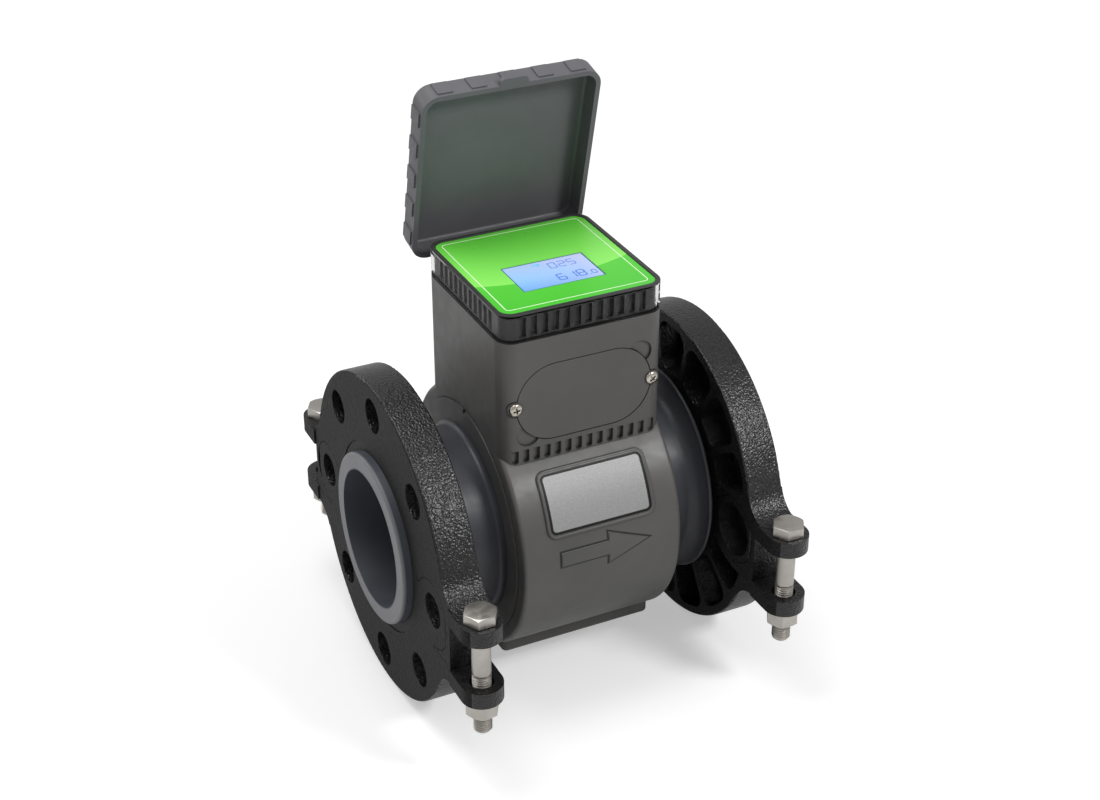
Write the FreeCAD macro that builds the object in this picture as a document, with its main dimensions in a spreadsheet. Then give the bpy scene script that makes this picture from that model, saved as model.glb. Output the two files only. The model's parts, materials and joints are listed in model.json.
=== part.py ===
import FreeCAD, Part
import math
import os
import Sketcher

# Electromagnetic flow meter: a measuring tube with grooved ends, a sensor housing with a
# square register tower and a hinged lid, and a two-piece bolted flange on each end.
# Millimetres. X runs along the pipe in the flow direction, Y points away from the front,
# Z points up, and the origin is the middle of the bore.

document = FreeCAD.newDocument("FlowMeter")
sheet = document.addObject("Spreadsheet::Sheet", "Sizes")

SIZES = [
    # Measuring tube
    ("tube_length", 250.0),
    ("bore_radius", 46.0),
    ("pipe_radius", 57.15),
    ("pipe_end_rounding", 1.5),
    ("groove_depth", 2.15),
    ("groove_seat", 15.9),
    ("groove_width", 8.7),
    ("fit_gap", 0.15),
    # Sensor housing, barrel
    ("barrel_radius", 88.0),
    ("barrel_half_length", 56.0),
    ("barrel_wall", 5.0),
    ("barrel_edge", 3.0),
    ("cap_seat_inset", 9.4),
    ("cap_seat_depth", 7.0),
    # Sensor housing, tower
    ("tower_half_y", 58.0),
    ("tower_rise", 63.9),
    ("tower_wall", 5.0),
    ("tower_corner", 11.0),
    ("tower_floor", 50.0),
    # End caps with neck and flared disc
    ("cap_proud", 0.9),
    ("neck_wall", 3.2),
    ("neck_blend", 4.0),
    ("disc_reach", 14.85),
    ("disc_gap", 5.4),
    ("disc_rim", 2.4),
    ("disc_flare", 10.5),
    ("notch_width", 3.0),
    ("notch_depth", 3.0),
    ("notch_angle", 12.0),
    # Base plate
    ("base_half_x", 54.5),
    ("base_half_y", 40.0),
    ("base_shift", 5.0),
    ("base_drop", 1.8),
    ("base_corner", 4.0),
    ("base_edge", 2.2),
    # Terminal cover on the front of the tower
    ("oval_radius", 26.5),
    ("oval_straight", 20.0),
    ("oval_drop", 45.4),
    ("oval_recess", 2.6),
    ("oval_plate", 2.0),
    ("oval_edge", 0.6),
    ("oval_gap", 0.6),
    ("oval_land", 4.5),
    ("oval_seal", 0.5),
    ("screw_step", 0.5),
    ("screw_head_radius", 4.4),
    ("screw_head_height", 2.2),
    ("screw_radius", 2.0),
    ("screw_length", 9.0),
    ("screw_clearance", 0.05),
    ("screw_tip_gap", 0.5),
    ("cross_half", 2.7),
    ("cross_half_width", 0.5),
    ("cross_depth", 1.1),
    ("screw_lobe", 5.4),
    ("screw_boss", 4.6),
    ("dimple_radius", 8.0),
    ("dimple_x", 38.5),
    ("dimple_z", 20.0),
    ("dimple_depth", 1.6),
    # Vent row
    ("vent_count", 14),
    ("vent_pitch", 7.3),
    ("vent_width", 4.4),
    ("vent_rise", 0.8),
    ("vent_height", 9.5),
    ("vent_depth", 2.6),
    # Name plate and flow arrow on the barrel
    ("plate_half_x", 35.0),
    ("plate_half_height", 19.0),
    ("plate_corner", 3.5),
    ("plate_drop_angle", 18.8),
    ("plate_thick", 0.8),
    ("plate_frame", 2.6),
    ("plate_gap", 0.45),
    ("plate_frame_proud", 1.1),
    ("arrow_tail", 29.5),
    ("arrow_neck", 3.8),
    ("arrow_tip", 30.4),
    ("arrow_shaft", 4.4),
    ("arrow_head", 10.2),
    ("arrow_drop_angle", 24.2),
    ("arrow_proud", 0.8),
    # Register under the clear cover
    ("cover_height", 19.4),
    ("cover_wall", 2.4),
    ("cover_roof", 2.0),
    ("bezel_width", 3.2),
    ("bezel_height", 1.2),
    ("label_thick", 0.5),
    ("frame_wall", 5.0),
    ("frame_floor", 2.0),
    ("frame_gap", 0.6),
    ("rib_count_front", 12),
    ("rib_count_side", 11),
    ("rib_pitch", 7.4),
    ("rib_slot", 4.6),
    ("rib_depth", 2.8),
    ("rib_height", 13.0),
    ("display_half_x", 28.0),
    ("display_half_y", 17.5),
    ("display_shift", -13.5),
    ("display_depth", 7.0),
    ("board_half_x", 44.0),
    ("board_half_y", 45.0),
    ("board_thick", 1.6),
    ("board_drop", 10.0),
    ("board_corner", 3.5),
    ("seal_width", 2.0),
    ("seal_height", 0.8),
    # Lid
    ("lid_gap_x", 5.2),
    ("lid_gap_y", 4.0),
    ("lid_rim_rise", 8.8),
    ("lid_depth", 16.8),
    ("lid_wall", 3.4),
    ("lid_roof", 3.0),
    ("lid_corner", 11.5),
    ("lid_top_edge", 3.0),
    ("lid_inner_edge", 2.0),
    ("lid_open_angle", 76.4),
    ("pad_count", 5),
    ("pad_pitch", 22.6),
    ("pad_half", 5.2),
    ("pad_proud", 1.0),
    ("pad_rim_gap", 2.2),
    ("tab_half", 9.5),
    ("tab_corner", 3.0),
    ("tab_out", 4.6),
    ("tab_height", 3.2),
    # Hinge
    ("hinge_out", 4.0),
    ("hinge_rise", 0.6),
    ("knuckle_radius", 3.4),
    ("pin_radius", 1.5),
    ("pin_clearance", 0.05),
    ("pin_half_length", 36.0),
    ("lid_knuckle_half", 18.0),
    ("knuckle_gap", 0.4),
    ("house_knuckle", 16.0),
    # Batteries
    ("cell_radius", 16.5),
    ("cell_half_length", 29.0),
    ("cell_cap_radius", 5.5),
    ("cell_cap_height", 2.0),
    ("cell_spread", 18.5),
    ("tray_height", 8.0),
    ("tray_floor", 2.0),
    ("tray_rise", 14.0),
    ("tray_margin", 1.5),
    ("tray_leg", 4.0),
    # Sensor coils and electrodes
    ("core_radius", 11.0),
    ("shoe_half", 16.0),
    ("shoe_height", 4.0),
    ("yoke_gap", 2.0),
    ("yoke_thick", 2.0),
    ("yoke_half_width", 24.0),
    ("coil_outer", 19.0),
    ("coil_gap", 0.3),
    ("electrode_radius", 4.0),
    ("electrode_head", 6.5),
    ("electrode_flange", 2.5),
    ("electrode_out", 9.0),
    ("ground_x", 36.0),
    # Flange halves
    ("flange_radius", 110.0),
    ("flange_width", 25.0),
    ("face_setback", 6.1),
    ("flange_edge", 1.5),
    ("key_width", 7.6),
    ("key_gap", 0.3),
    ("gasket_step", 1.5),
    ("gasket_width", 6.85),
    ("gasket_sink", 0.6),
    ("hole_inset", 20.0),
    ("hole_count", 8),
    ("hole_radius", 11.5),
    ("hub_wall", 11.85),
    ("bay_rim", 6.0),
    ("bay_depth", 15.0),
    ("bay_rib", 4.4),
    ("bay_inner_corner", 8.0),
    ("bay_outer_corner", 9.0),
    ("bay_guard", 5.0),
    ("tongue_bay_radius", 18.5),
    ("tongue_inset", 1.0),
    ("tongue_z", -3.0),
    ("tongue_radius", 23.0),
    ("half_gap", 0.4),
    ("split_inner", 9.0),
    ("split_outer", -27.2),
    # Ears and draw bolts
    ("ear_reach", 24.0),
    ("ear_radius", 13.5),
    ("ear_top", 17.8),
    ("ear_thick", 11.0),
    ("ear_sweep", 20.0),
    ("ear_wall", 5.5),
    ("ear_root", 2.0),
    ("ear_hole", 6.7),
    ("slack_hole", 7.6),
    ("bolt_radius", 6.0),
    ("bolt_head_flat", 19.0),
    ("bolt_head_height", 7.5),
    ("bolt_tip", -64.0),
    ("bolt_tip_cone", 1.2),
    ("nut_height", 11.5),
    ("hex_bevel", 1.0),
    ("thread_gap", 0.05),
]

# Sizes that follow from the ones above
FORMULAS = [
    ("groove_radius", "pipe_radius - groove_depth"),
    ("cap_seat_radius", "barrel_radius - cap_seat_inset"),
    ("tower_half_x", "barrel_half_length"),
    ("tower_top", "barrel_radius + tower_rise"),
    ("base_bottom", "0 - barrel_radius - base_drop"),
    ("oval_height", "tower_top - oval_drop"),
    ("screw_offset", "oval_straight + oval_radius + screw_step"),
    ("tower_foot", "sqrt(barrel_radius ^ 2 - tower_half_y ^ 2)"),
    ("vent_bottom", "tower_foot + vent_rise"),
    ("plate_angle", "atan(tower_foot / tower_half_y) / 1 deg - plate_drop_angle"),
    ("arrow_angle", "plate_angle - arrow_drop_angle"),
    ("hinge_y", "tower_half_y + hinge_out"),
    ("hinge_z", "tower_top + hinge_rise"),
    ("lid_half_x", "tower_half_x + lid_gap_x"),
    ("lid_half_y", "tower_half_y + lid_gap_y"),
    ("lid_rim_z", "tower_top + lid_rim_rise"),
    ("yoke_radius", "barrel_radius - barrel_wall - yoke_gap - yoke_thick"),
    ("tray_level", "yoke_radius + yoke_thick + tray_rise"),
    ("flange_face_x", "tube_length / 2 - face_setback"),
    ("flange_back_x", "flange_face_x - flange_width"),
    ("gasket_radius", "pipe_radius + gasket_width"),
    ("hub_radius", "pipe_radius + hub_wall"),
    ("hole_circle_radius", "flange_radius - hole_inset"),
    ("tongue_y", "hole_circle_radius - tongue_inset"),
    ("ear_y", "flange_radius + ear_reach"),
    ("disc_radius", "pipe_radius + disc_reach"),
    ("disc_outer_x", "flange_back_x - disc_gap"),
]

for row, (alias, number) in enumerate(SIZES + FORMULAS, start=1):
    sheet.set("A%d" % row, alias)
    sheet.set("B%d" % row, "=%s" % number)
    sheet.setAlias("B%d" % row, alias)
document.recompute()


class Size:
    """A number together with the sheet expression that gives it."""

    def __init__(self, number, text):
        self.number = float(number)
        self.text = text

    def __add__(self, other):
        other = size(other)
        return Size(self.number + other.number, "(%s + %s)" % (self.text, other.text))

    def __sub__(self, other):
        other = size(other)
        return Size(self.number - other.number, "(%s - %s)" % (self.text, other.text))

    def __mul__(self, other):
        other = size(other)
        return Size(self.number * other.number, "(%s * %s)" % (self.text, other.text))

    def __truediv__(self, other):
        other = size(other)
        return Size(self.number / other.number, "(%s / %s)" % (self.text, other.text))

    def __neg__(self):
        return Size(-self.number, "(0 - %s)" % self.text)

    def __radd__(self, other):
        return size(other) + self

    def __rsub__(self, other):
        return size(other) - self

    def __rmul__(self, other):
        return size(other) * self


def size(thing):
    """Turn a plain number into a Size, and leave a Size as it is."""
    if isinstance(thing, Size):
        return thing
    return Size(thing, repr(float(thing)))


def root(thing):
    return Size(math.sqrt(thing.number), "sqrt(%s)" % thing.text)


def cosine(angle):
    return Size(math.cos(math.radians(angle.number)), "cos(%s * 1 deg)" % angle.text)


def sine(angle):
    return Size(math.sin(math.radians(angle.number)), "sin(%s * 1 deg)" % angle.text)


class Sheet:
    """The driving sizes by name."""


s = Sheet()
for alias, number in SIZES + FORMULAS:
    setattr(s, alias, Size(float(sheet.get(alias)), "Sizes." + alias))

nodes = []
made = 0


def add(kind, hint):
    """Add an object under a name that is free."""
    global made
    made += 1
    return document.addObject(kind, "%s_%03d" % (hint, made))


def bind(item, **sizes):
    for name, thing in sizes.items():
        item.setExpression(name, size(thing).text)


AXES = {
    "X": FreeCAD.Rotation(FreeCAD.Vector(0, 1, 0), 90),
    "Y": FreeCAD.Rotation(FreeCAD.Vector(1, 0, 0), -90),
    "Z": FreeCAD.Rotation(),
}


def place(item, x=0, y=0, z=0, rotation=None):
    item.Placement = FreeCAD.Placement(FreeCAD.Vector(0, 0, 0), rotation or FreeCAD.Rotation())
    for letter, thing in zip("xyz", (x, y, z)):
        item.setExpression("Placement.Base." + letter, size(thing).text)
    return item


def rod(radius, start, end, axis="X", at=(0, 0)):
    """A cylinder along an axis from start to end; at gives its other two coordinates."""
    item = add("Part::Cylinder", "Rod")
    bind(item, Radius=radius, Height=size(end) - start)
    spots = {"X": (start, at[0], at[1]), "Y": (at[0], start, at[1]), "Z": (at[0], at[1], start)}
    return place(item, *spots[axis], rotation=AXES[axis])


def block(x_range, y_range, z_range):
    item = add("Part::Box", "Block")
    spans = [size(high) - low for low, high in (x_range, y_range, z_range)]
    bind(item, Length=spans[0], Width=spans[1], Height=spans[2])
    return place(item, x_range[0], y_range[0], z_range[0])


def fuse(*shapes):
    if len(shapes) == 1:
        return shapes[0]
    item = add("Part::MultiFuse", "Fuse")
    item.Shapes = list(shapes)
    item.Refine = True
    return item


def cut(base, *tools):
    item = add("Part::Cut", "Cut")
    item.Base = base
    item.Tool = fuse(*tools)
    item.Refine = True
    return item


def common(*shapes):
    item = add("Part::MultiCommon", "Common")
    item.Shapes = list(shapes)
    item.Refine = True
    return item


def node(item, label):
    """Take an object as a finished piece under its own label."""
    item.Label = label
    nodes.append(item)
    return item


PLANES = {"XY": "XY_Plane", "XZ": "XZ_Plane", "YZ": "YZ_Plane"}


def new_body():
    return add("PartDesign::Body", "Body")


def new_sketch(body, plane, offset=0):
    """A sketch on one of the body's own planes, moved off it along its normal."""
    made_sketch = body.newObject("Sketcher::SketchObject", "Sketch_%s_%d" % (body.Name, len(body.Group)))
    role = PLANES[plane]
    origin_plane = [each for each in body.Origin.OriginFeatures if each.Role == role][0]
    made_sketch.AttachmentSupport = [(origin_plane, "")]
    made_sketch.MapMode = "FlatFace"
    made_sketch.setExpression("AttachmentOffset.Base.z", size(offset).text)
    return made_sketch


def dimension(sketch, kind, *where):
    """Add a constraint whose last item is a Size, and bind it to the sheet."""
    thing = size(where[-1])
    number = sketch.addConstraint(Sketcher.Constraint(kind, *where[:-1], thing.number))
    sketch.setExpression("Constraints[%d]" % number, thing.text)


def draw_outline(sketch, points):
    """A closed outline through points (x, y) or (x, y, radius, turn).

    A point with a radius starts an arc to the next point; turn is 1 where the arc's
    middle lies on its left and -1 where it lies on its right.
    """
    corners = [(size(point[0]), size(point[1])) for point in points]
    count = len(corners)
    for index, point in enumerate(points):
        first = FreeCAD.Vector(corners[index][0].number, corners[index][1].number, 0)
        after = corners[(index + 1) % count]
        last = FreeCAD.Vector(after[0].number, after[1].number, 0)
        if len(point) == 2:
            sketch.addGeometry(Part.LineSegment(first, last))
            continue
        radius = size(point[2]).number
        chord = last - first
        side = FreeCAD.Vector(-chord.y, chord.x, 0).normalize() * point[3]
        reach = math.sqrt(max(radius ** 2 - (chord.Length / 2) ** 2, 0))
        centre = (first + last) * 0.5 + side * reach
        middle = centre - side * radius
        sketch.addGeometry(Part.Arc(first, middle, last))
    for index in range(count):
        after = (index + 1) % count
        start_point, end_point = ends(points[index])
        next_start = ends(points[after])[0]
        sketch.addConstraint(Sketcher.Constraint("Coincident", index, end_point, after, next_start))
        dimension(sketch, "DistanceX", -1, 1, index, start_point, corners[index][0])
        dimension(sketch, "DistanceY", -1, 1, index, start_point, corners[index][1])
        if len(points[index]) > 2:
            dimension(sketch, "Radius", index, points[index][2])


def ends(point):
    """Which ends of a line or arc are its first and last; arcs always run anticlockwise."""
    if len(point) > 2 and point[3] < 0:
        return 2, 1
    return 1, 2


def draw_circle(sketch, radius, x=0, y=0):
    x, y, radius = size(x), size(y), size(radius)
    centre = FreeCAD.Vector(x.number, y.number, 0)
    index = sketch.addGeometry(Part.Circle(centre, FreeCAD.Vector(0, 0, 1), radius.number))
    dimension(sketch, "Radius", index, radius)
    if x.text == "0.0" and y.text == "0.0":
        sketch.addConstraint(Sketcher.Constraint("Coincident", index, 3, -1, 1))
        return
    dimension(sketch, "DistanceX", -1, 1, index, 3, x)
    dimension(sketch, "DistanceY", -1, 1, index, 3, y)


def draw_rounded(sketch, half_x, half_y, corner, x=0, y=0):
    """A rounded rectangle about (x, y)."""
    x, y, half_x, half_y, corner = (size(each) for each in (x, y, half_x, half_y, corner))
    left, right, low, high = x - half_x, x + half_x, y - half_y, y + half_y
    draw_outline(sketch, [
        (left + corner, low),
        (right - corner, low, corner, 1),
        (right, low + corner),
        (right, high - corner, corner, 1),
        (right - corner, high),
        (left + corner, high, corner, 1),
        (left, high - corner),
        (left, low + corner, corner, 1),
    ])


def pad(body, sketch, length, both=False):
    item = body.newObject("PartDesign::Pad", "Pad_%s_%d" % (body.Name, len(body.Group)))
    item.Profile = sketch
    item.setExpression("Length", size(length).text)
    if both:
        item.Midplane = True
    return item


def prism(plane, offset, length, draw, *sizes, **options):
    """A body padded from one sketch on a plane; draw fills the sketch."""
    body = new_body()
    sketch = new_sketch(body, plane, offset)
    draw(sketch, *sizes, **options)
    pad(body, sketch, length)
    return body


def turned(points, axis="H_Axis", plane="XZ"):
    """A body turned from an outline about a sketch axis."""
    body = new_body()
    sketch = new_sketch(body, plane)
    draw_outline(sketch, points)
    item = body.newObject("PartDesign::Revolution", "Turn_%s" % body.Name)
    item.Profile = sketch
    item.ReferenceAxis = (sketch, [axis])
    item.Angle = 360.0
    return body


def edges_where(shape, test):
    """Names of the edges of a shape that pass a test."""
    return ["Edge%d" % (index + 1) for index, edge in enumerate(shape.Edges) if test(edge)]


def round_edges(body, radius, test):
    """Fillet the edges of a body's last feature that pass a test."""
    document.recompute()
    tip = body.Tip
    item = body.newObject("PartDesign::Fillet", "Edge_%s_%d" % (body.Name, len(body.Group)))
    item.Base = (tip, edges_where(tip.Shape, test))
    item.setExpression("Radius", size(radius).text)
    return item


def flat_at(edge, axis, level):
    """True for an edge that lies wholly at one level of an axis."""
    low = getattr(edge.BoundBox, axis.upper() + "Min")
    high = getattr(edge.BoundBox, axis.upper() + "Max")
    return abs(low - level.number) < 0.01 and abs(high - level.number) < 0.01


# Measuring tube


def measuring_tube():
    """Pipe with a seat, a groove and a rounded lip at each end, and holes for the electrodes."""
    half = s.tube_length / 2
    outer = s.groove_seat
    inner = s.groove_seat + s.groove_width
    tube = turned([
        (-half, s.bore_radius),
        (half, s.bore_radius),
        (half, s.pipe_radius - s.pipe_end_rounding, s.pipe_end_rounding, 1),
        (half - s.pipe_end_rounding, s.pipe_radius),
        (half - outer, s.pipe_radius),
        (half - outer, s.groove_radius),
        (half - inner, s.groove_radius),
        (half - inner, s.pipe_radius),
        (inner - half, s.pipe_radius),
        (inner - half, s.groove_radius),
        (outer - half, s.groove_radius),
        (outer - half, s.pipe_radius),
        (s.pipe_end_rounding - half, s.pipe_radius, s.pipe_end_rounding, 1),
        (-half, s.pipe_radius - s.pipe_end_rounding),
    ])
    reach = s.pipe_radius + 1
    hole = s.electrode_radius + s.fit_gap
    cross = rod(hole, -reach, reach, "Y")
    ground = rod(hole, -reach, 0, "Z", at=(s.ground_x, 0))
    head = s.electrode_head + s.fit_gap
    depth = s.bore_radius + s.electrode_flange
    counterbore = rod(head, -depth, depth, "Y")
    ground_counterbore = rod(head, -depth, 0, "Z", at=(s.ground_x, 0))
    return node(cut(tube, cross, ground, counterbore, ground_counterbore), "measuring_tube")


def electrode_shape(start, axis, at, outward):
    """Flush head in the bore wall, and a stem out through the wall."""
    head = s.bore_radius + s.electrode_flange - s.fit_gap
    tip = s.pipe_radius + s.electrode_out
    if outward > 0:
        parts = (rod(s.electrode_head, start, head, axis, at),
                 rod(s.electrode_radius, head, tip, axis, at))
    else:
        parts = (rod(s.electrode_head, -head, -start, axis, at),
                 rod(s.electrode_radius, -tip, -head, axis, at))
    return fuse(*parts)


def electrodes():
    face = root(s.bore_radius * s.bore_radius - s.electrode_head * s.electrode_head)
    bore = rod(s.bore_radius, -s.tube_length / 2, s.tube_length / 2)
    for label, outward in (("electrode_front", -1), ("electrode_rear", 1)):
        node(cut(electrode_shape(face, "Y", (0, 0), outward), bore), label)
    node(cut(electrode_shape(face, "Z", (s.ground_x, 0), -1), bore), "ground_electrode")


# Field coils with their cores and the ring that closes the magnetic circuit


def coil_set():
    seat = s.pipe_radius + s.fit_gap
    shoe_top = seat + s.shoe_height
    reach = s.yoke_radius - s.fit_gap
    span = s.yoke_half_width
    ring = cut(rod(s.yoke_radius + s.yoke_thick, -span, span), rod(s.yoke_radius, -span, span))
    node(ring, "magnet_yoke")
    for label, side in (("upper", 1), ("lower", -1)):
        low, high = (0, s.yoke_radius) if side > 0 else (-s.yoke_radius, 0)
        shoe_low, shoe_high = (0, shoe_top) if side > 0 else (-shoe_top, 0)
        post = rod(s.core_radius, low, high, "Z")
        shoe = block((-s.shoe_half, s.shoe_half), (-s.shoe_half, s.shoe_half), (shoe_low, shoe_high))
        limit = rod(reach, -span, span)
        core = cut(common(fuse(post, shoe), limit), rod(seat, -span, span))
        node(core, "coil_core_" + label)
        start, end = shoe_top + s.coil_gap, root(reach * reach - s.coil_outer * s.coil_outer)
        if side < 0:
            start, end = -end, -start
        coil = cut(rod(s.coil_outer, start, end, "Z"),
                   rod(s.core_radius + s.coil_gap, start, end, "Z"))
        node(coil, "field_coil_" + label)


# Sensor housing: barrel with a square tower


def plate_box(extra, start, end):
    """Rounded block across the barrel's front, seen square on at the name plate's angle."""
    item = prism("XY", start, size(end) - start, draw_rounded,
                 s.plate_half_x + extra, s.plate_half_height + extra, s.plate_corner + extra)
    turned_back = FreeCAD.Rotation(FreeCAD.Vector(1, 0, 0), 90)
    item.Placement = FreeCAD.Placement(FreeCAD.Vector(0, 0, 0), turned_back)
    item.setExpression("Placement.Rotation.Angle", ("(90 - %s)" % s.plate_angle.text))
    return item


def barrel_skin(thick):
    """A thin sleeve that lies on the barrel."""
    half = s.barrel_half_length
    return cut(rod(s.barrel_radius + thick, -half, half), rod(s.barrel_radius, -half, half))


def oval(extra, start, end):
    """A block with round ends on the front of the tower, from y start to y end."""
    radius = s.oval_radius + extra
    high, low = s.oval_height + radius, s.oval_height - radius
    middle = block((-s.oval_straight, s.oval_straight), (start, end), (low, high))
    left = rod(radius, start, end, "Y", at=(-s.oval_straight, s.oval_height))
    right = rod(radius, start, end, "Y", at=(s.oval_straight, s.oval_height))
    return fuse(middle, left, right)


def screw_rods(radius, start, end):
    """A pair of rods on the two terminal cover screws."""
    return [rod(radius, start, end, "Y", at=(side * s.screw_offset, s.oval_height))
            for side in (-1, 1)]


def housing():
    half = s.barrel_half_length
    barrel = turned([
        (-half, s.tower_floor),
        (half, s.tower_floor),
        (half, s.barrel_radius - s.barrel_edge, s.barrel_edge, 1),
        (half - s.barrel_edge, s.barrel_radius),
        (s.barrel_edge - half, s.barrel_radius, s.barrel_edge, 1),
        (-half, s.barrel_radius - s.barrel_edge),
    ])
    tower = prism("XY", s.tower_floor, s.tower_top - s.tower_floor, draw_rounded,
                  s.tower_half_x, s.tower_half_y, s.tower_corner)
    front = -s.tower_half_y
    cavity = rod(s.barrel_radius - s.barrel_wall, s.cap_seat_depth - half, half - s.cap_seat_depth)
    cap_seats = rod(s.cap_seat_radius, -half, half)
    room = prism("XY", 0, s.tower_top, draw_rounded, s.tower_half_x - s.tower_wall,
                 s.tower_half_y - s.tower_wall, s.tower_corner - s.tower_wall)
    wall_end = s.tower_wall - s.tower_half_y
    bosses = screw_rods(s.screw_boss, front, s.screw_length + s.oval_plate - s.tower_half_y)
    shell = cut(fuse(barrel, tower), cavity, cap_seats, room)
    body = fuse(shell, *bosses, *house_knuckles())
    recess_floor = s.oval_recess - s.tower_half_y
    recess = oval(s.oval_gap / 2, front, recess_floor)
    lobes = screw_rods(s.screw_lobe + s.oval_gap / 2, front, recess_floor)
    opening = oval(-s.oval_land, front, wall_end)
    tapped = screw_rods(s.screw_radius, front, s.screw_length - s.tower_half_y)
    dimples = [rod(s.dimple_radius, front, s.dimple_depth - s.tower_half_y, "Y",
                   at=(side * s.dimple_x, s.oval_height + side * s.dimple_z)) for side in (-1, 1)]
    vents = [vent(index) for index in range(int(s.vent_count.number))]
    body = cut(body, recess, opening, *lobes, *tapped, *dimples, *vents, pin_hole())
    frame = common(barrel_skin(s.plate_frame_proud), plate_box(s.plate_frame, 0, s.barrel_radius * 2))
    frame = cut(frame, plate_box(s.plate_gap, 0, s.barrel_radius * 2))
    arrow = common(barrel_skin(s.arrow_proud), arrow_block())
    return node(fuse(body, frame, arrow), "sensor_housing")


def vent(index):
    """One blind slot with a round foot in the row under the terminal cover."""
    middle = (index - (s.vent_count - 1) / 2) * s.vent_pitch
    half = s.vent_width / 2
    front, back = -s.tower_half_y - 1, s.vent_depth - s.tower_half_y
    slot = block((middle - half, middle + half), (front, back),
                 (s.vent_bottom + half, s.vent_bottom + s.vent_height))
    return fuse(slot, rod(half, front, back, "Y", at=(middle, s.vent_bottom + half)))


def arrow_block():
    """Flow arrow, pushed out through the barrel's front at its own height."""
    body = new_body()
    sketch = new_sketch(body, "XZ")
    level = s.barrel_radius * sine(s.arrow_angle)
    draw_outline(sketch, [
        (-s.arrow_tail, level - s.arrow_shaft),
        (s.arrow_neck, level - s.arrow_shaft),
        (s.arrow_neck, level - s.arrow_head),
        (s.arrow_tip, level),
        (s.arrow_neck, level + s.arrow_head),
        (s.arrow_neck, level + s.arrow_shaft),
        (-s.arrow_tail, level + s.arrow_shaft),
    ])
    pad(body, sketch, s.barrel_radius * 2)
    return body


def house_knuckles():
    """Two hinge knuckles on the tower's rear edge, each with a web into the wall."""
    inner = s.lid_knuckle_half + s.knuckle_gap
    pieces = []
    for low, high in ((inner, inner + s.house_knuckle), (-inner - s.house_knuckle, -inner)):
        pieces.append(rod(s.knuckle_radius, low, high, "X", at=(s.hinge_y, s.hinge_z)))
        web_top = s.hinge_z - s.knuckle_radius / 2
        web = block((low, high), (s.tower_half_y - 1, s.hinge_y), (s.hinge_z - s.knuckle_radius * 2, web_top))
        pieces.append(web)
    return pieces


def pin_hole():
    inner = s.pin_half_length
    return rod(s.pin_radius + s.pin_clearance, -inner, inner, "X", at=(s.hinge_y, s.hinge_z))


# End caps, and the necks with flared discs that come out through them


def other_end(item):
    """Turn a piece from the right-hand end round to the left."""
    item.Placement = FreeCAD.Placement(FreeCAD.Vector(), FreeCAD.Rotation(FreeCAD.Vector(0, 0, 1), 180))
    return item


def end_cap(label, side):
    """Flat disc that closes the barrel round the neck, with a notch at the top."""
    bore = s.pipe_radius + s.fit_gap + s.neck_wall + s.fit_gap
    back = s.barrel_half_length - s.cap_seat_depth + s.fit_gap
    face = s.barrel_half_length + s.cap_proud
    rim = s.cap_seat_radius - s.fit_gap * 2
    cap = turned([(back, bore), (face, bore), (face, rim), (back, rim)])
    low, high = (back, face + 1) if side > 0 else (-face - 1, -back)
    wedge = block((low, high), (-s.notch_width / 2, s.notch_width / 2), (rim - s.notch_depth, rim + 1))
    return node(cut(cap if side > 0 else other_end(cap), wedge), label)


def neck(label, side):
    """Sleeve over the tube with a shoulder on the cap and a flared disc at its end."""
    bore = s.pipe_radius + s.fit_gap
    outer = bore + s.neck_wall
    back = s.barrel_half_length - s.cap_seat_depth + s.fit_gap
    face = s.barrel_half_length + s.cap_proud
    round_start = s.disc_outer_x - s.disc_rim / 2
    inside = s.disc_outer_x - s.disc_rim
    rim = s.disc_radius - s.disc_rim / 2
    sleeve = turned([
        (back, bore),
        (s.disc_outer_x, bore),
        (s.disc_outer_x, rim, s.disc_rim / 2, 1),
        (round_start, s.disc_radius, s.disc_rim / 2, 1),
        (inside, rim),
        (inside, outer + s.disc_flare, s.disc_flare, -1),
        (inside - s.disc_flare, outer),
        (face + s.neck_blend, outer, s.neck_blend, -1),
        (face, outer + s.neck_blend),
        (face, outer),
        (back, outer),
    ])
    return node(sleeve if side > 0 else other_end(sleeve), label)


def base_plate():
    """Foot under the barrel, hollowed to the barrel's curve."""
    foot = prism("XY", s.base_bottom, -s.base_bottom, draw_rounded, s.base_half_x, s.base_half_y,
                 s.base_corner, x=s.base_shift)
    round_edges(foot, s.base_edge, lambda edge: flat_at(edge, "z", s.base_bottom))
    reach = s.base_half_x + s.base_shift + 1
    return node(cut(foot, rod(s.barrel_radius + s.fit_gap, -reach, reach)), "base_plate")


# Terminal cover on the front of the tower


def terminal_cover():
    floor = s.oval_recess - s.tower_half_y
    back = floor - s.oval_seal
    face = back - s.oval_plate
    plate = fuse(oval(-s.oval_gap / 2, face, back), *screw_rods(s.screw_lobe - s.oval_gap / 2, face, back))
    holes = screw_rods(s.screw_radius + s.fit_gap, face, back)
    node(cut(plate, *holes), "terminal_cover")
    ring = cut(oval(-s.oval_edge, back, floor), oval(-s.oval_land, back, floor))
    seal = cut(ring, *screw_rods(s.screw_radius + s.fit_gap * 2, back, floor))
    node(seal, "terminal_cover_seal")
    group = add("Part::Compound", "Screws")
    group.Links = [cover_screw((side * s.screw_offset, s.oval_height), face) for side in (-1, 1)]
    node(group, "terminal_cover_screws")


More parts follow.
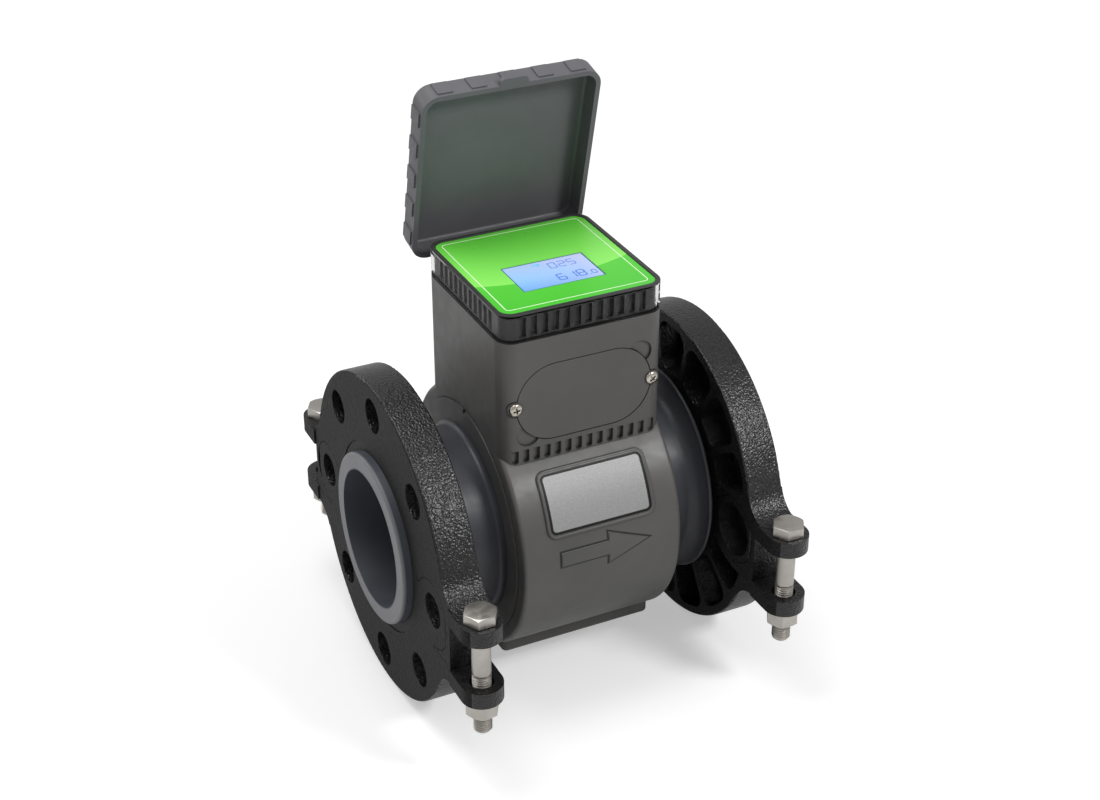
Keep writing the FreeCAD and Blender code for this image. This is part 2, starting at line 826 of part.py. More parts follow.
def cover_screw(spot, face):
    """A cross-head screw through the terminal cover."""
    head_top = face - s.screw_head_height
    shank_end = s.screw_length - s.tower_half_y - s.screw_tip_gap
    head = rod(s.screw_head_radius, head_top, face, "Y", spot)
    shank = rod(s.screw_radius - s.screw_clearance, face, shank_end, "Y", spot)
    depth = (head_top, head_top + s.cross_depth)
    wide_x, wide_z = [(middle - s.cross_half, middle + s.cross_half) for middle in spot]
    thin_x, thin_z = [(middle - s.cross_half_width, middle + s.cross_half_width) for middle in spot]
    return cut(fuse(head, shank), block(wide_x, depth, thin_z), block(thin_x, depth, wide_z))


def name_plate():
    """Thin blank plate in its raised frame on the barrel."""
    return node(common(barrel_skin(s.plate_thick), plate_box(0, 0, s.barrel_radius * 2)), "nameplate")


# Register: ribbed frame, clear cover, bezel, label, display and board


def ring_prism(outer_x, outer_y, corner, width, low, high):
    """A rounded square ring of one width between two heights."""
    outer = prism("XY", low, size(high) - low, draw_rounded, outer_x, outer_y, corner)
    inner = prism("XY", low, size(high) - low, draw_rounded, outer_x - width, outer_y - width, corner - width)
    return cut(outer, inner)


def register():
    top = s.tower_top + s.cover_height
    roof = top - s.bezel_height
    ceiling = roof - s.cover_roof
    half_x, half_y, corner = s.tower_half_x, s.tower_half_y, s.tower_corner
    floor = s.tower_top
    seal_inset = s.tower_wall - s.seal_width
    ring = ring_prism(half_x - seal_inset / 2, half_y - seal_inset / 2, corner - seal_inset / 2,
                      s.seal_width, floor, floor + s.seal_height)
    node(ring, "register_seal")
    seat = floor + s.seal_height
    walls = ring_prism(half_x, half_y, corner, s.cover_wall, seat, ceiling)
    sheet_top = prism("XY", ceiling, s.cover_roof, draw_rounded, half_x, half_y, corner)
    node(cut(fuse(walls, sheet_top), display_block(s.fit_gap, ceiling, top)), "display_cover")
    rim = ring_prism(half_x, half_y, corner, s.bezel_width, roof, top)
    node(rim, "bezel")
    inset = s.bezel_width + s.fit_gap
    label = prism("XY", roof, s.label_thick, draw_rounded, half_x - inset, half_y - inset, corner - inset)
    node(cut(label, display_block(s.fit_gap, roof, top)), "face_label")
    ribbed_frame(seat, ceiling)
    node(display_block(0, ceiling - s.display_depth, roof + s.label_thick / 2), "lcd_module")
    board_top = ceiling - s.display_depth
    board = prism("XY", board_top - s.board_thick, s.board_thick, draw_rounded,
                  s.board_half_x, s.board_half_y, s.board_corner)
    node(board, "circuit_board")


def display_block(extra, low, high):
    """The display's outline, or its window with some room, between two heights."""
    reach_x, reach_y = s.display_half_x + extra, s.display_half_y + extra
    return block((-reach_x, reach_x), (s.display_shift - reach_y, s.display_shift + reach_y), (low, high))


def ribbed_frame(seat, ceiling):
    """Ring inside the clear cover with upright slots all round and a post in each corner."""
    outer_x = s.tower_half_x - s.cover_wall - s.frame_gap
    outer_y = s.tower_half_y - s.cover_wall - s.frame_gap
    corner = s.tower_corner - s.cover_wall - s.frame_gap
    ring = ring_prism(outer_x, outer_y, corner, s.frame_wall, seat, ceiling - s.fit_gap)
    low = seat + (ceiling - seat - s.rib_height) / 2
    slots = []
    for index in range(int(s.rib_count_front.number)):
        middle = (index - (s.rib_count_front - 1) / 2) * s.rib_pitch
        span = (middle - s.rib_slot / 2, middle + s.rib_slot / 2)
        slots.append(block(span, (-outer_y, s.rib_depth - outer_y), (low, low + s.rib_height)))
        slots.append(block(span, (outer_y - s.rib_depth, outer_y), (low, low + s.rib_height)))
    for index in range(int(s.rib_count_side.number)):
        middle = (index - (s.rib_count_side - 1) / 2) * s.rib_pitch
        span = (middle - s.rib_slot / 2, middle + s.rib_slot / 2)
        slots.append(block((-outer_x, s.rib_depth - outer_x), span, (low, low + s.rib_height)))
        slots.append(block((outer_x - s.rib_depth, outer_x), span, (low, low + s.rib_height)))
    board_top = ceiling - s.display_depth
    shelf_low = board_top - s.board_thick - s.frame_floor
    inner_x = outer_x - s.frame_wall
    inner_y = outer_y - s.frame_wall
    shelf = block((-inner_x - 1, inner_x + 1), (-inner_y - 1, inner_y + 1),
                  (shelf_low, board_top - s.board_thick))
    open_x, open_y = inner_x - s.board_drop, inner_y - s.board_drop
    shelf = cut(shelf, block((-open_x, open_x), (-open_y, open_y), (shelf_low, board_top)))
    return node(fuse(cut(ring, *slots), shelf), "register_frame")


# Batteries in their tray inside the tower


def batteries():
    level = s.tray_level
    half_x = s.cell_spread + s.cell_radius + s.tray_margin
    half_y = s.cell_half_length + s.tray_floor + s.tray_margin
    top = level + s.tray_height
    shell = block((-half_x, half_x), (-half_y, half_y), (level, top))
    middle = top + s.cell_radius - s.tray_height + s.tray_floor
    reach = s.cell_half_length + s.fit_gap
    nests = [rod(s.cell_radius + s.fit_gap, -reach, reach, "Y", at=(side * s.cell_spread, middle))
             for side in (-1, 1)]
    leg_low = s.yoke_radius + s.yoke_thick + s.fit_gap
    legs = []
    for side in (-1, 1):
        leg_x = side * s.shoe_half / 2
        legs.append(block((leg_x - s.tray_leg / 2, leg_x + s.tray_leg / 2), (-s.tray_leg, s.tray_leg),
                          (leg_low, level)))
    node(cut(fuse(shell, *legs), *nests), "battery_tray")
    for label, side in (("battery_cell_left", -1), ("battery_cell_right", 1)):
        spot = (side * s.cell_spread, middle)
        shoulder = s.cell_half_length - s.cell_cap_height
        can = rod(s.cell_radius, -s.cell_half_length, shoulder, "Y", spot)
        cap = rod(s.cell_cap_radius, shoulder, s.cell_half_length, "Y", spot)
        node(fuse(can, cap), label)


# Lid, drawn closed and then turned about the hinge to where it stands open


def lid():
    rim, top = s.lid_rim_z, s.lid_rim_z + s.lid_depth
    shell = prism("XY", rim, s.lid_depth, draw_rounded, s.lid_half_x, s.lid_half_y, s.lid_corner)
    round_edges(shell, s.lid_top_edge, lambda edge: flat_at(edge, "z", top))
    inside = prism("XY", rim, s.lid_depth - s.lid_roof, draw_rounded, s.lid_half_x - s.lid_wall,
                   s.lid_half_y - s.lid_wall, s.lid_corner - s.lid_wall)
    ceiling = top - s.lid_roof
    round_edges(inside, s.lid_inner_edge, lambda edge: flat_at(edge, "z", ceiling))
    pads = []
    reach_x, reach_y = s.lid_half_x + s.pad_proud, s.lid_half_y + s.pad_proud
    height = (rim + s.pad_rim_gap, top - s.lid_top_edge)
    for index in range(int(s.pad_count.number)):
        middle = (index - (s.pad_count - 1) / 2) * s.pad_pitch
        stretch = (middle - s.pad_half, middle + s.pad_half)
        pads.append(block((s.lid_half_x - 1, reach_x), stretch, height))
        pads.append(block((-reach_x, 1 - s.lid_half_x), stretch, height))
        pads.append(block(stretch, (-reach_y, 1 - s.lid_half_y), height))
    tab = prism("XY", rim, s.tab_height, draw_rounded, s.tab_half, s.tab_out + s.lid_wall / 2,
                s.tab_corner, y=s.lid_wall / 2 - s.lid_half_y)
    half = s.lid_knuckle_half
    knuckle = rod(s.knuckle_radius, -half, half, "X", at=(s.hinge_y, s.hinge_z))
    arm = block((-half, half), (s.lid_half_y - s.lid_wall, s.hinge_y + s.knuckle_radius),
                (s.hinge_z, rim + 1))
    solid = cut(fuse(shell, *pads, tab, knuckle, arm), inside, pin_hole())
    return node(opened(solid), "lid")


def opened(item):
    """Turn an object about the hinge line from closed to where it stands open."""
    turn = -s.lid_open_angle
    rotation = FreeCAD.Rotation(FreeCAD.Vector(1, 0, 0), turn.number)
    moved_y = s.hinge_y * cosine(turn) - s.hinge_z * sine(turn)
    moved_z = s.hinge_y * sine(turn) + s.hinge_z * cosine(turn)
    place(item, 0, s.hinge_y - moved_y, s.hinge_z - moved_z, rotation)
    item.setExpression("Placement.Rotation.Angle", turn.text)
    return item


def hinge_pin():
    half = s.pin_half_length
    return node(rod(s.pin_radius, -half, half, "X", at=(s.hinge_y, s.hinge_z)), "hinge_pin")


# Flange halves, drawn on the right-hand end and turned round for the left


def y_span(side, near, far):
    """A range of y on one side of the pipe."""
    return (near, far) if side > 0 else (-size(far), -size(near))


def flange_planes():
    """The flange's inner face, outer face and middle."""
    return s.flange_back_x, s.flange_face_x, (s.flange_back_x + s.flange_face_x) / 2


def gasket_seat():
    """Where the gasket's recess starts, past the key that sits in the groove."""
    key_middle = s.tube_length / 2 - s.groove_seat - s.groove_width / 2
    return key_middle + s.key_width / 2 + s.gasket_step


def flange_ring():
    """Full ring with its key, the gasket recess and rounded rim edges."""
    inner, outer, middle = flange_planes()
    key_middle = s.tube_length / 2 - s.groove_seat - s.groove_width / 2
    key_low, key_high = key_middle - s.key_width / 2, key_middle + s.key_width / 2
    bore = s.pipe_radius + s.key_gap
    key = s.groove_radius + s.key_gap
    rim, edge = s.flange_radius, s.flange_edge
    return turned([
        (inner, bore),
        (key_low, bore),
        (key_low, key),
        (key_high, key),
        (key_high, bore),
        (gasket_seat(), bore),
        (gasket_seat(), s.gasket_radius),
        (outer, s.gasket_radius),
        (outer, rim - edge, edge, 1),
        (outer - edge, rim),
        (inner + edge, rim, edge, 1),
        (inner, rim - edge),
    ])


def bay(angle):
    """Pocket between two ribs in the back of the flange, rounded at its four corners.

    It is drawn about the first sketch axis, with one rib's middle line on each side at
    half the angle between ribs, and then turned to its place.
    """
    half_angle = size(90) / s.hole_count
    half_rib = s.bay_rib / 2
    small, large = s.bay_inner_corner, s.bay_outer_corner
    near, far = s.hub_radius, s.flange_radius - s.bay_rim

    def spot(run, off):
        """A point at a run along the rib's middle line and off it towards the pocket."""
        across, up = cosine(half_angle), sine(half_angle)
        return run * across + off * up, run * up - off * across

    def run_to(reach, off):
        return root(reach * reach - off * off)

    near_run = run_to(near + small, half_rib + small)
    far_run = run_to(far - large, half_rib + large)
    near_side, far_side = spot(near_run, half_rib), spot(far_run, half_rib)
    near_arc = [each * near / (near + small) for each in spot(near_run, half_rib + small)]
    far_arc = [each * far / (far - large) for each in spot(far_run, half_rib + large)]
    body = new_body()
    sketch = new_sketch(body, "YZ", s.flange_back_x)
    draw_outline(sketch, [
        (near_side[0], -near_side[1]),
        (far_side[0], -far_side[1], large, 1),
        (far_arc[0], -far_arc[1], far, 1),
        (far_arc[0], far_arc[1], large, 1),
        (far_side[0], far_side[1]),
        (near_side[0], near_side[1], small, 1),
        (near_arc[0], near_arc[1], near, -1),
        (near_arc[0], -near_arc[1], small, 1),
    ])
    pad(body, sketch, s.bay_depth)
    turn = FreeCAD.Rotation(FreeCAD.Vector(1, 0, 0), angle.number)
    body.Placement = FreeCAD.Placement(FreeCAD.Vector(), turn)
    body.setExpression("Placement.Rotation.Angle", angle.text)
    return body


def flange_cuts(upper):
    """The ribbed back and the through holes that fall in one half of the flange."""
    inner, outer, middle = flange_planes()
    up = 1 if upper else -1
    step = size(180) / s.hole_count
    count = int(s.hole_count.number)
    floor = inner + s.bay_depth
    bays = [bay(up * step * index) for index in range(1, count)]
    guards = [rod(s.tongue_radius + s.bay_guard, inner - 1, floor + 1, "X",
                  at=(side * s.tongue_y, s.tongue_z)) for side in (-1, 1)]
    if not upper:
        shelf = s.split_outer - s.bay_guard
        guards += [block((inner - 1, floor + 1), y_span(side, s.tongue_y, s.ear_y), (shelf, 0))
                   for side in (-1, 1)]
    tools = [cut(fuse(*bays), *guards)]
    for index in range(count):
        angle = step * index * 2
        height = math.sin(math.radians(angle.number)) * up
        at_side = abs(height) < 0.01
        if height < -0.01 or (at_side and upper):
            continue
        spot = (s.hole_circle_radius * cosine(angle), s.hole_circle_radius * sine(angle))
        tools.append(rod(s.hole_radius, inner - 1, outer + 1, "X", spot))
        if at_side:
            centre = (s.tongue_y * cosine(angle), s.tongue_z)
            tools.append(rod(s.tongue_bay_radius, inner, floor, "X", centre))
    return tools


def ear(side, top, sweep_up):
    """One lug for a draw bolt, blended into the rim by a hollow sweep."""
    inner, outer, middle = flange_planes()
    low = top - s.ear_thick
    wide = (middle - s.ear_radius, middle + s.ear_radius)
    arm = block((inner, outer), y_span(side, s.tongue_y, s.ear_y), (low, top))
    plate = block(wide, y_span(side, s.flange_radius + s.ear_wall, s.ear_y), (low, top))
    end = rod(s.ear_radius, low, top, "Z", at=(middle, side * s.ear_y))
    face = top if sweep_up else -low
    height = face + s.ear_sweep
    reach = s.flange_radius + s.ear_sweep
    centre = root(reach * reach - height * height)
    touch = height * s.flange_radius / reach
    span = (face, touch) if sweep_up else (-touch, -face)
    level = height if sweep_up else -height
    fill = block((inner, outer), y_span(side, s.tongue_y + s.ear_root, centre), span)
    scoop = rod(s.ear_sweep, inner - 1, outer + 1, "X", at=(side * centre, level))
    return [arm, plate, end, cut(fill, scoop)]


def tongues(extra):
    """Round tongues of the lower half, or their sockets, one on each side."""
    inner, outer, middle = flange_planes()
    return [rod(s.tongue_radius + extra, inner - 1, outer + 1, "X", at=(side * s.tongue_y, s.tongue_z))
            for side in (-1, 1)]


def flange_upper():
    inner, outer, middle = flange_planes()
    far = s.ear_y * 2
    pieces = [flange_ring()]
    for side in (-1, 1):
        pieces += ear(side, s.ear_top, True)
        pieces.append(block((inner, outer), y_span(side, s.tongue_y, s.flange_radius + s.ear_wall),
                            (s.split_outer, s.ear_top)))
    gap = s.half_gap / 2
    below = block((inner - 2, outer + 2), (-far, far), (-far, s.split_outer + gap))
    inside = block((inner - 2, outer + 2), (-s.tongue_y, s.tongue_y), (-far, s.split_inner + gap))
    holes = [rod(s.ear_hole, 0, s.ear_top + 1, "Z", at=(middle, side * s.ear_y)) for side in (-1, 1)]
    return cut(fuse(*pieces), below, inside, *tongues(gap), *flange_cuts(True), *holes)


def flange_lower():
    inner, outer, middle = flange_planes()
    far = s.ear_y * 2
    gap = s.half_gap / 2
    shelf = s.split_outer - gap
    below = block((inner - 2, outer + 2), (-far, far), (-far, shelf))
    inside = block((inner - 2, outer + 2), (-s.tongue_y, s.tongue_y), (-far, s.split_inner - gap))
    casting = common(flange_ring(), fuse(below, inside, *tongues(-gap)))
    pieces = [casting]
    for side in (-1, 1):
        pieces += ear(side, shelf, False)
    foot = shelf - s.ear_thick - 1
    holes = [rod(s.slack_hole, foot, 0, "Z", at=(middle, side * s.ear_y)) for side in (-1, 1)]
    return cut(fuse(*pieces), *flange_cuts(False), *holes)


def flanges():
    inner, outer, middle = flange_planes()
    node(other_end(flange_upper()), "flange_left_upper")
    node(other_end(flange_lower()), "flange_left_lower")
    node(flange_upper(), "flange_right_upper")
    node(flange_lower(), "flange_right_lower")
    start = gasket_seat() + s.fit_gap
    end = outer - s.gasket_sink
    for label, low, high in (("flange_gasket_left", -end, -start), ("flange_gasket_right", start, end)):
        ring = cut(rod(s.gasket_radius - s.fit_gap, low, high), rod(s.pipe_radius + s.fit_gap, low, high))
        node(ring, label)


# Draw bolts and nuts


def hexagon(flats, low, high, chamfer_low, chamfer_high):
    """Hexagonal prism with its ends turned off to a bevel."""
    corner = size(flats) / root(size(3))
    clear = corner + 1
    angles = [size(360) / 6 * turn for turn in range(6)]

    def outline(sketch):
        draw_outline(sketch, [(corner * cosine(angle), corner * sine(angle)) for angle in angles])

    body = prism("XY", low, size(high) - low, outline)
    drop = s.hex_bevel
    bevel = flats / 2 + drop * 2
    start = low + drop if chamfer_low else low
    end = high - drop if chamfer_high else high
    limits = [rod(clear, start, end, "Z")]
    if chamfer_high:
        limits.append(cone(bevel, flats / 2, end, drop))
    if chamfer_low:
        limits.append(cone(flats / 2, bevel, low, drop))
    return common(body, fuse(*limits))


def cone(low_radius, high_radius, start, height):
    item = add("Part::Cone", "Cone")
    bind(item, Radius1=low_radius, Radius2=high_radius, Height=height)
    return place(item, 0, 0, start)


def draw_bolt():
    """Bolt with a hexagon head, standing on the pipe's centre line before it is placed."""
    head = hexagon(s.bolt_head_flat, s.ear_top, s.ear_top + s.bolt_head_height, False, True)
    shank = rod(s.bolt_radius, s.bolt_tip + s.bolt_tip_cone, s.ear_top, "Z")
    end = cone(s.bolt_radius - s.bolt_tip_cone, s.bolt_radius, s.bolt_tip, s.bolt_tip_cone)
    return fuse(head, shank, end)


def draw_nut():
    """Hexagon nut under the lower ear."""
    top = s.split_outer - s.half_gap / 2 - s.ear_thick
    bottom = top - s.nut_height
    return cut(hexagon(s.bolt_head_flat, bottom, top, True, False),
               rod(s.bolt_radius + s.thread_gap, bottom - 1, top + 1, "Z"))


def fasteners():
    inner, outer, middle = flange_planes()
    for end, way in (("left", -1), ("right", 1)):
        for face, side in (("front", -1), ("rear", 1)):
            spot = (way * middle, side * s.ear_y)
            node(place(draw_bolt(), *spot), "draw_bolt_%s_%s" % (end, face))
            node(place(draw_nut(), *spot), "draw_nut_%s_%s" % (end, face))


measuring_tube()
electrodes()
coil_set()
housing()
for end_name, end_side in (("left", -1), ("right", 1)):
    end_cap("end_cap_" + end_name, end_side)
    neck("neck_" + end_name, end_side)
base_plate()
terminal_cover()
name_plate()
register()
batteries()
lid()
hinge_pin()
flanges()
fasteners()

document.recompute()

failed = [item for item in document.Objects if "Invalid" in item.State or "Error" in item.State]
for item in failed:
    print("failed:", item.Label, item.State, [each.Label for each in item.InListRecursive][-3:])
if failed:
    raise RuntimeError("%d objects failed" % len(failed))

os.makedirs("parts", exist_ok=True)
for item in nodes:
    if item.Shape.isNull() or not item.Shape.isValid():
        raise RuntimeError("bad shape: " + item.Label)
    item.Shape.exportStep("parts/%s.step" % item.Label)
    print(item.Label, len(item.Shape.Solids), round(item.Shape.Volume, 1))
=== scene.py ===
import json
import math

import bmesh
import bpy
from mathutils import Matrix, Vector


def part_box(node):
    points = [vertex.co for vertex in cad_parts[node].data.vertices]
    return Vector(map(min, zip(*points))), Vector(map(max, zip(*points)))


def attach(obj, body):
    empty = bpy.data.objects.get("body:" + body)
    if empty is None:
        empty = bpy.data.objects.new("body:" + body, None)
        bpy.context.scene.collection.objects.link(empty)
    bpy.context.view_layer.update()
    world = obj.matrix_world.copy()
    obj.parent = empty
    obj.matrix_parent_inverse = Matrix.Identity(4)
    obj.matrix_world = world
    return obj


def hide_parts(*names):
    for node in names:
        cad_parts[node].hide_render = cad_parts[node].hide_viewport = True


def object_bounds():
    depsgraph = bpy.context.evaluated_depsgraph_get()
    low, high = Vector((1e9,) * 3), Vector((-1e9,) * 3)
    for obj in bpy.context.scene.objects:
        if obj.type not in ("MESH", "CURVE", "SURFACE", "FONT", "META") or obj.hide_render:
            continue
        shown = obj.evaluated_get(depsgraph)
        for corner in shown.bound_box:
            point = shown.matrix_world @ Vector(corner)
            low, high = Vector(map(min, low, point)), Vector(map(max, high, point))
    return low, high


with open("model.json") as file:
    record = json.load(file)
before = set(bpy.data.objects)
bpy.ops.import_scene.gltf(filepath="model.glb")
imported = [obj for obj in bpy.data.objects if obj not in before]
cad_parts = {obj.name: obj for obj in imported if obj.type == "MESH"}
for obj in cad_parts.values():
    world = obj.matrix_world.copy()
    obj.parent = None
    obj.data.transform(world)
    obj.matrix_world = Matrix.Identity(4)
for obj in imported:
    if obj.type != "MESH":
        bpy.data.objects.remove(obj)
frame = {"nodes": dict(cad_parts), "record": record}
cad_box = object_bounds()

MM = 0.001
SLOTS = {part["node"]: part["material_slot"] for part in frame["record"]["subparts"]}
BODY_OF = {node: body for body, members in frame["record"]["behaviour"]["bodies"].items()
           for node in members}


# Sizes in mm that the materials and the made pieces share

TUBE_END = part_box("measuring_tube")[1].x / MM
TUBE_BORE = 46.8
TUBE_PALE_END = 2.2
BARREL = -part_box("sensor_housing")[0].z / MM
PLATE_HALF_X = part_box("nameplate")[1].x / MM
PLATE_HALF_Y = 19.0
PLATE_HALF_THICK = 0.4
PLATE_CORNER = 2.4
# Width in mm of the dark band painted round the plate as the shade of its gap
PLATE_SHADE_BAND = 1.3

# How high the plate and the arrow stand on the barrel, as turns from the front
PLATE_ANGLE = math.asin(sum(corner.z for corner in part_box("nameplate")) / 2 / MM
                        / math.sqrt((BARREL + PLATE_HALF_THICK) ** 2 - PLATE_HALF_Y ** 2))
ARROW_ANGLE = PLATE_ANGLE - math.radians(24.2)


# Colours


def srgb(red, green, blue):
    """A colour written as screen values from 0 to 255, turned into linear light."""
    def channel(value):
        value = value / 255
        return value / 12.92 if value <= 0.04045 else ((value + 0.055) / 1.055) ** 2.4
    return channel(red), channel(green), channel(blue), 1.0


def grey(value, warm=0):
    """A grey, made warmer or colder by a few screen steps between red and blue."""
    return srgb(value + warm / 2, value, value - warm / 2)


# Materials


NOISE_ROUGHNESS = 0.55
OCCLUSION_SAMPLES = 8
# The Mix node's colour sockets share their names with its number sockets, so they go by place.
MIX_COLORS, MIX_RESULT = (6, 7), 2


def math_node(nodes, links, operation, first, second=None):
    """The result of a Math node on numbers or on other nodes' outputs."""
    node = nodes.new("ShaderNodeMath")
    node.operation = operation
    for socket, value in zip(node.inputs, (first, second)):
        if value is None:
            continue
        if isinstance(value, (int, float)):
            socket.default_value = value
        else:
            links.new(value, socket)
    return node.outputs["Value"]


class Paint:
    """A Principled material with helpers for the nodes that give it detail."""

    def __init__(self, name, color, roughness, metallic=0.0, **sockets):
        self.material = bpy.data.materials.new(name)
        self.material.use_nodes = True
        self.nodes = self.material.node_tree.nodes
        self.links = self.material.node_tree.links
        self.shader = self.nodes["Principled BSDF"]
        self.shader.inputs["Base Color"].default_value = color
        self.shader.inputs["Roughness"].default_value = roughness
        self.shader.inputs["Metallic"].default_value = metallic
        for socket, value in sockets.items():
            self.shader.inputs[socket.replace("_", " ")].default_value = value
        self.place = self.nodes.new("ShaderNodeTexCoord").outputs["Object"]
        self.normal = None

    def stretched(self, scale):
        """The surface's own coordinates, scaled by axis."""
        mapping = self.nodes.new("ShaderNodeMapping")
        mapping.inputs["Scale"].default_value = scale
        self.links.new(self.place, mapping.inputs["Vector"])
        return mapping.outputs["Vector"]

    def noise(self, scale, detail=3.0, stretch=None):
        """Soft noise as a number about one half, its scale in waves to the metre."""
        node = self.nodes.new("ShaderNodeTexNoise")
        node.inputs["Scale"].default_value = scale
        node.inputs["Detail"].default_value = detail
        node.inputs["Roughness"].default_value = NOISE_ROUGHNESS
        source = self.stretched(stretch) if stretch else self.place
        self.links.new(source, node.inputs["Vector"])
        return node.outputs["Fac"]

    def pebbles(self, scale):
        """Rounded bumps side by side, as a height from 0 to about 1."""
        node = self.nodes.new("ShaderNodeTexVoronoi")
        node.feature = "SMOOTH_F1"
        node.inputs["Scale"].default_value = scale
        node.inputs["Smoothness"].default_value = 0.6
        self.links.new(self.place, node.inputs["Vector"])
        return self.math("SUBTRACT", 1.0, node.outputs["Distance"])

    def ramp(self, source, *stops):
        """Map a grey value to colours, each stop a position and its colour."""
        node = self.nodes.new("ShaderNodeValToRGB")
        elements = node.color_ramp.elements
        while len(elements) < len(stops):
            elements.new(0.5)
        for element, (position, color) in zip(elements, stops):
            element.position = position
            element.color = color
        self.links.new(source, node.inputs["Fac"])
        return node.outputs["Color"]

    def colored(self, color):
        """Take the surface's colour from a node's output."""
        self.links.new(color, self.shader.inputs["Base Color"])

    def vary_color(self, scale, first, last):
        """Drift between two colours over the surface."""
        self.colored(self.ramp(self.noise(scale, 4.0), (0.35, first), (0.65, last)))

    def vary_roughness(self, scale, low, high):
        """Drift between two roughnesses over the surface."""
        node = self.nodes.new("ShaderNodeMapRange")
        node.inputs["From Min"].default_value = 0.3
        node.inputs["From Max"].default_value = 0.7
        node.inputs["To Min"].default_value = low
        node.inputs["To Max"].default_value = high
        self.links.new(self.noise(scale), node.inputs["Value"])
        self.links.new(node.outputs["Result"], self.shader.inputs["Roughness"])

    def bump(self, height, depth, strength=1.0):
        """Add a layer of relief, its depth in mm."""
        node = self.nodes.new("ShaderNodeBump")
        node.inputs["Strength"].default_value = strength
        node.inputs["Distance"].default_value = depth * MM
        self.links.new(height, node.inputs["Height"])
        if self.normal:
            self.links.new(self.normal, node.inputs["Normal"])
        self.normal = node.outputs["Normal"]
        self.links.new(self.normal, self.shader.inputs["Normal"])

    def along(self, axis):
        """A point's place along an axis, in metres."""
        node = self.nodes.new("ShaderNodeSeparateXYZ")
        self.links.new(self.place, node.inputs["Vector"])
        return node.outputs[axis]

    def painted_crevice_shade(self, reach, color, share):
        """Painted shade: darken the colour in seams and inner corners where another face stands
        within a reach.
        """
        node = self.nodes.new("ShaderNodeAmbientOcclusion")
        node.samples = OCCLUSION_SAMPLES
        node.inputs["Distance"].default_value = reach
        shade_share = self.math("MULTIPLY", self.math("SUBTRACT", 1.0, node.outputs["AO"]), share)
        below = self.shader.inputs["Base Color"].links[0].from_socket
        self.colored(self.mix(shade_share, below, color))

    def math(self, operation, first, second=None):
        """The result of a Math node in this material."""
        return math_node(self.nodes, self.links, operation, first, second)

    def hypotenuse(self, first, second):
        """The long side of a right triangle, from nodes that give its other two."""
        squares = self.math("MULTIPLY", first, first), self.math("MULTIPLY", second, second)
        return self.math("SQRT", self.math("ADD", *squares))

    def mix(self, factor, first, last):
        """A colour between two others."""
        node = self.nodes.new("ShaderNodeMix")
        node.data_type = "RGBA"
        self.links.new(factor, node.inputs["Factor"])
        for place, value in zip(MIX_COLORS, (first, last)):
            if isinstance(value, tuple):
                node.inputs[place].default_value = value
            else:
                self.links.new(value, node.inputs[place])
        return node.outputs[MIX_RESULT]


def iron_paint(name, roughness, shine, relief):
    """Black coated casting with a pebbled skin, its relief in mm, its colour lighter on the
    pebbles' tops as painted glints and darker in their hollows as painted shade.
    """
    paint = Paint(name, grey(16), roughness, Specular_IOR_Level=shine)
    patchy = paint.math("MULTIPLY", paint.noise(900), 0.1)
    paint.links.new(paint.math("SUBTRACT", roughness, patchy), paint.shader.inputs["Roughness"])
    skin = paint.math("ADD", paint.pebbles(700), paint.noise(560, 2.0))
    # Painted glints and shade: the colour follows the relief, near black in the hollows and lighter
    # on the tops
    paint.colored(paint.ramp(skin, (0.55, grey(6)), (0.95, grey(15)), (1.0, grey(24))))
    paint.bump(skin, relief)
    return paint


def housing_paint():
    """Satin dark grey paint with a very fine grain, darkened in its seams and corners as painted
    shade.
    """
    paint = Paint("grey_paint", grey(81, 2), 0.38, Specular_IOR_Level=0.4)
    paint.vary_color(14, grey(78, 2), grey(85, 3))
    # Painted shade: the colour goes near black in seams, vents and inner corners by ambient
    # occlusion
    paint.painted_crevice_shade(2.4 * MM, grey(18), 0.9)
    paint.vary_roughness(120, 0.34, 0.44)
    paint.bump(paint.noise(2400, 2.0), 0.05, 0.6)
    return paint


def neck_paint():
    """Dark blue-grey moulding, smoother than the housing."""
    paint = Paint("blue_grey_moulding", srgb(60, 61, 66), 0.36, Specular_IOR_Level=0.35)
    paint.vary_color(20, srgb(57, 58, 63), srgb(65, 66, 71))
    paint.vary_roughness(90, 0.36, 0.46)
    paint.bump(paint.noise(1800, 2.0), 0.03, 0.4)
    return paint


def tube_paint():
    """Dark tube whose end faces are paler."""
    paint = Paint("tube_polymer", srgb(74, 77, 84), 0.42, Specular_IOR_Level=0.4)
    body = paint.ramp(paint.noise(18), (0.35, srgb(68, 71, 78)), (0.65, srgb(78, 81, 88)))
    pale = paint.ramp(paint.noise(30), (0.35, srgb(110, 111, 115)), (0.65, srgb(120, 120, 124)))
    reach = paint.math("ABSOLUTE", paint.along("X"))
    at_end = paint.math("GREATER_THAN", reach, (TUBE_END - TUBE_PALE_END) * MM)
    radius = paint.hypotenuse(paint.along("Y"), paint.along("Z"))
    outside = paint.math("GREATER_THAN", radius, TUBE_BORE * MM)
    paint.colored(paint.mix(paint.math("MULTIPLY", at_end, outside), body, pale))
    paint.vary_roughness(60, 0.36, 0.48)
    paint.bump(paint.noise(1400, 2.0), 0.04, 0.4)
    return paint


def steel_paint():
    """Turned stainless steel with fine tool marks round its upright axis."""
    paint = Paint("turned_stainless", srgb(182, 178, 173), 0.36, 1.0)
    paint.vary_color(60, srgb(174, 170, 164), srgb(191, 187, 181))
    paint.vary_roughness(200, 0.30, 0.44)
    paint.bump(paint.noise(260, 2.0, stretch=(1, 1, 14)), 0.03, 0.5)
    return paint


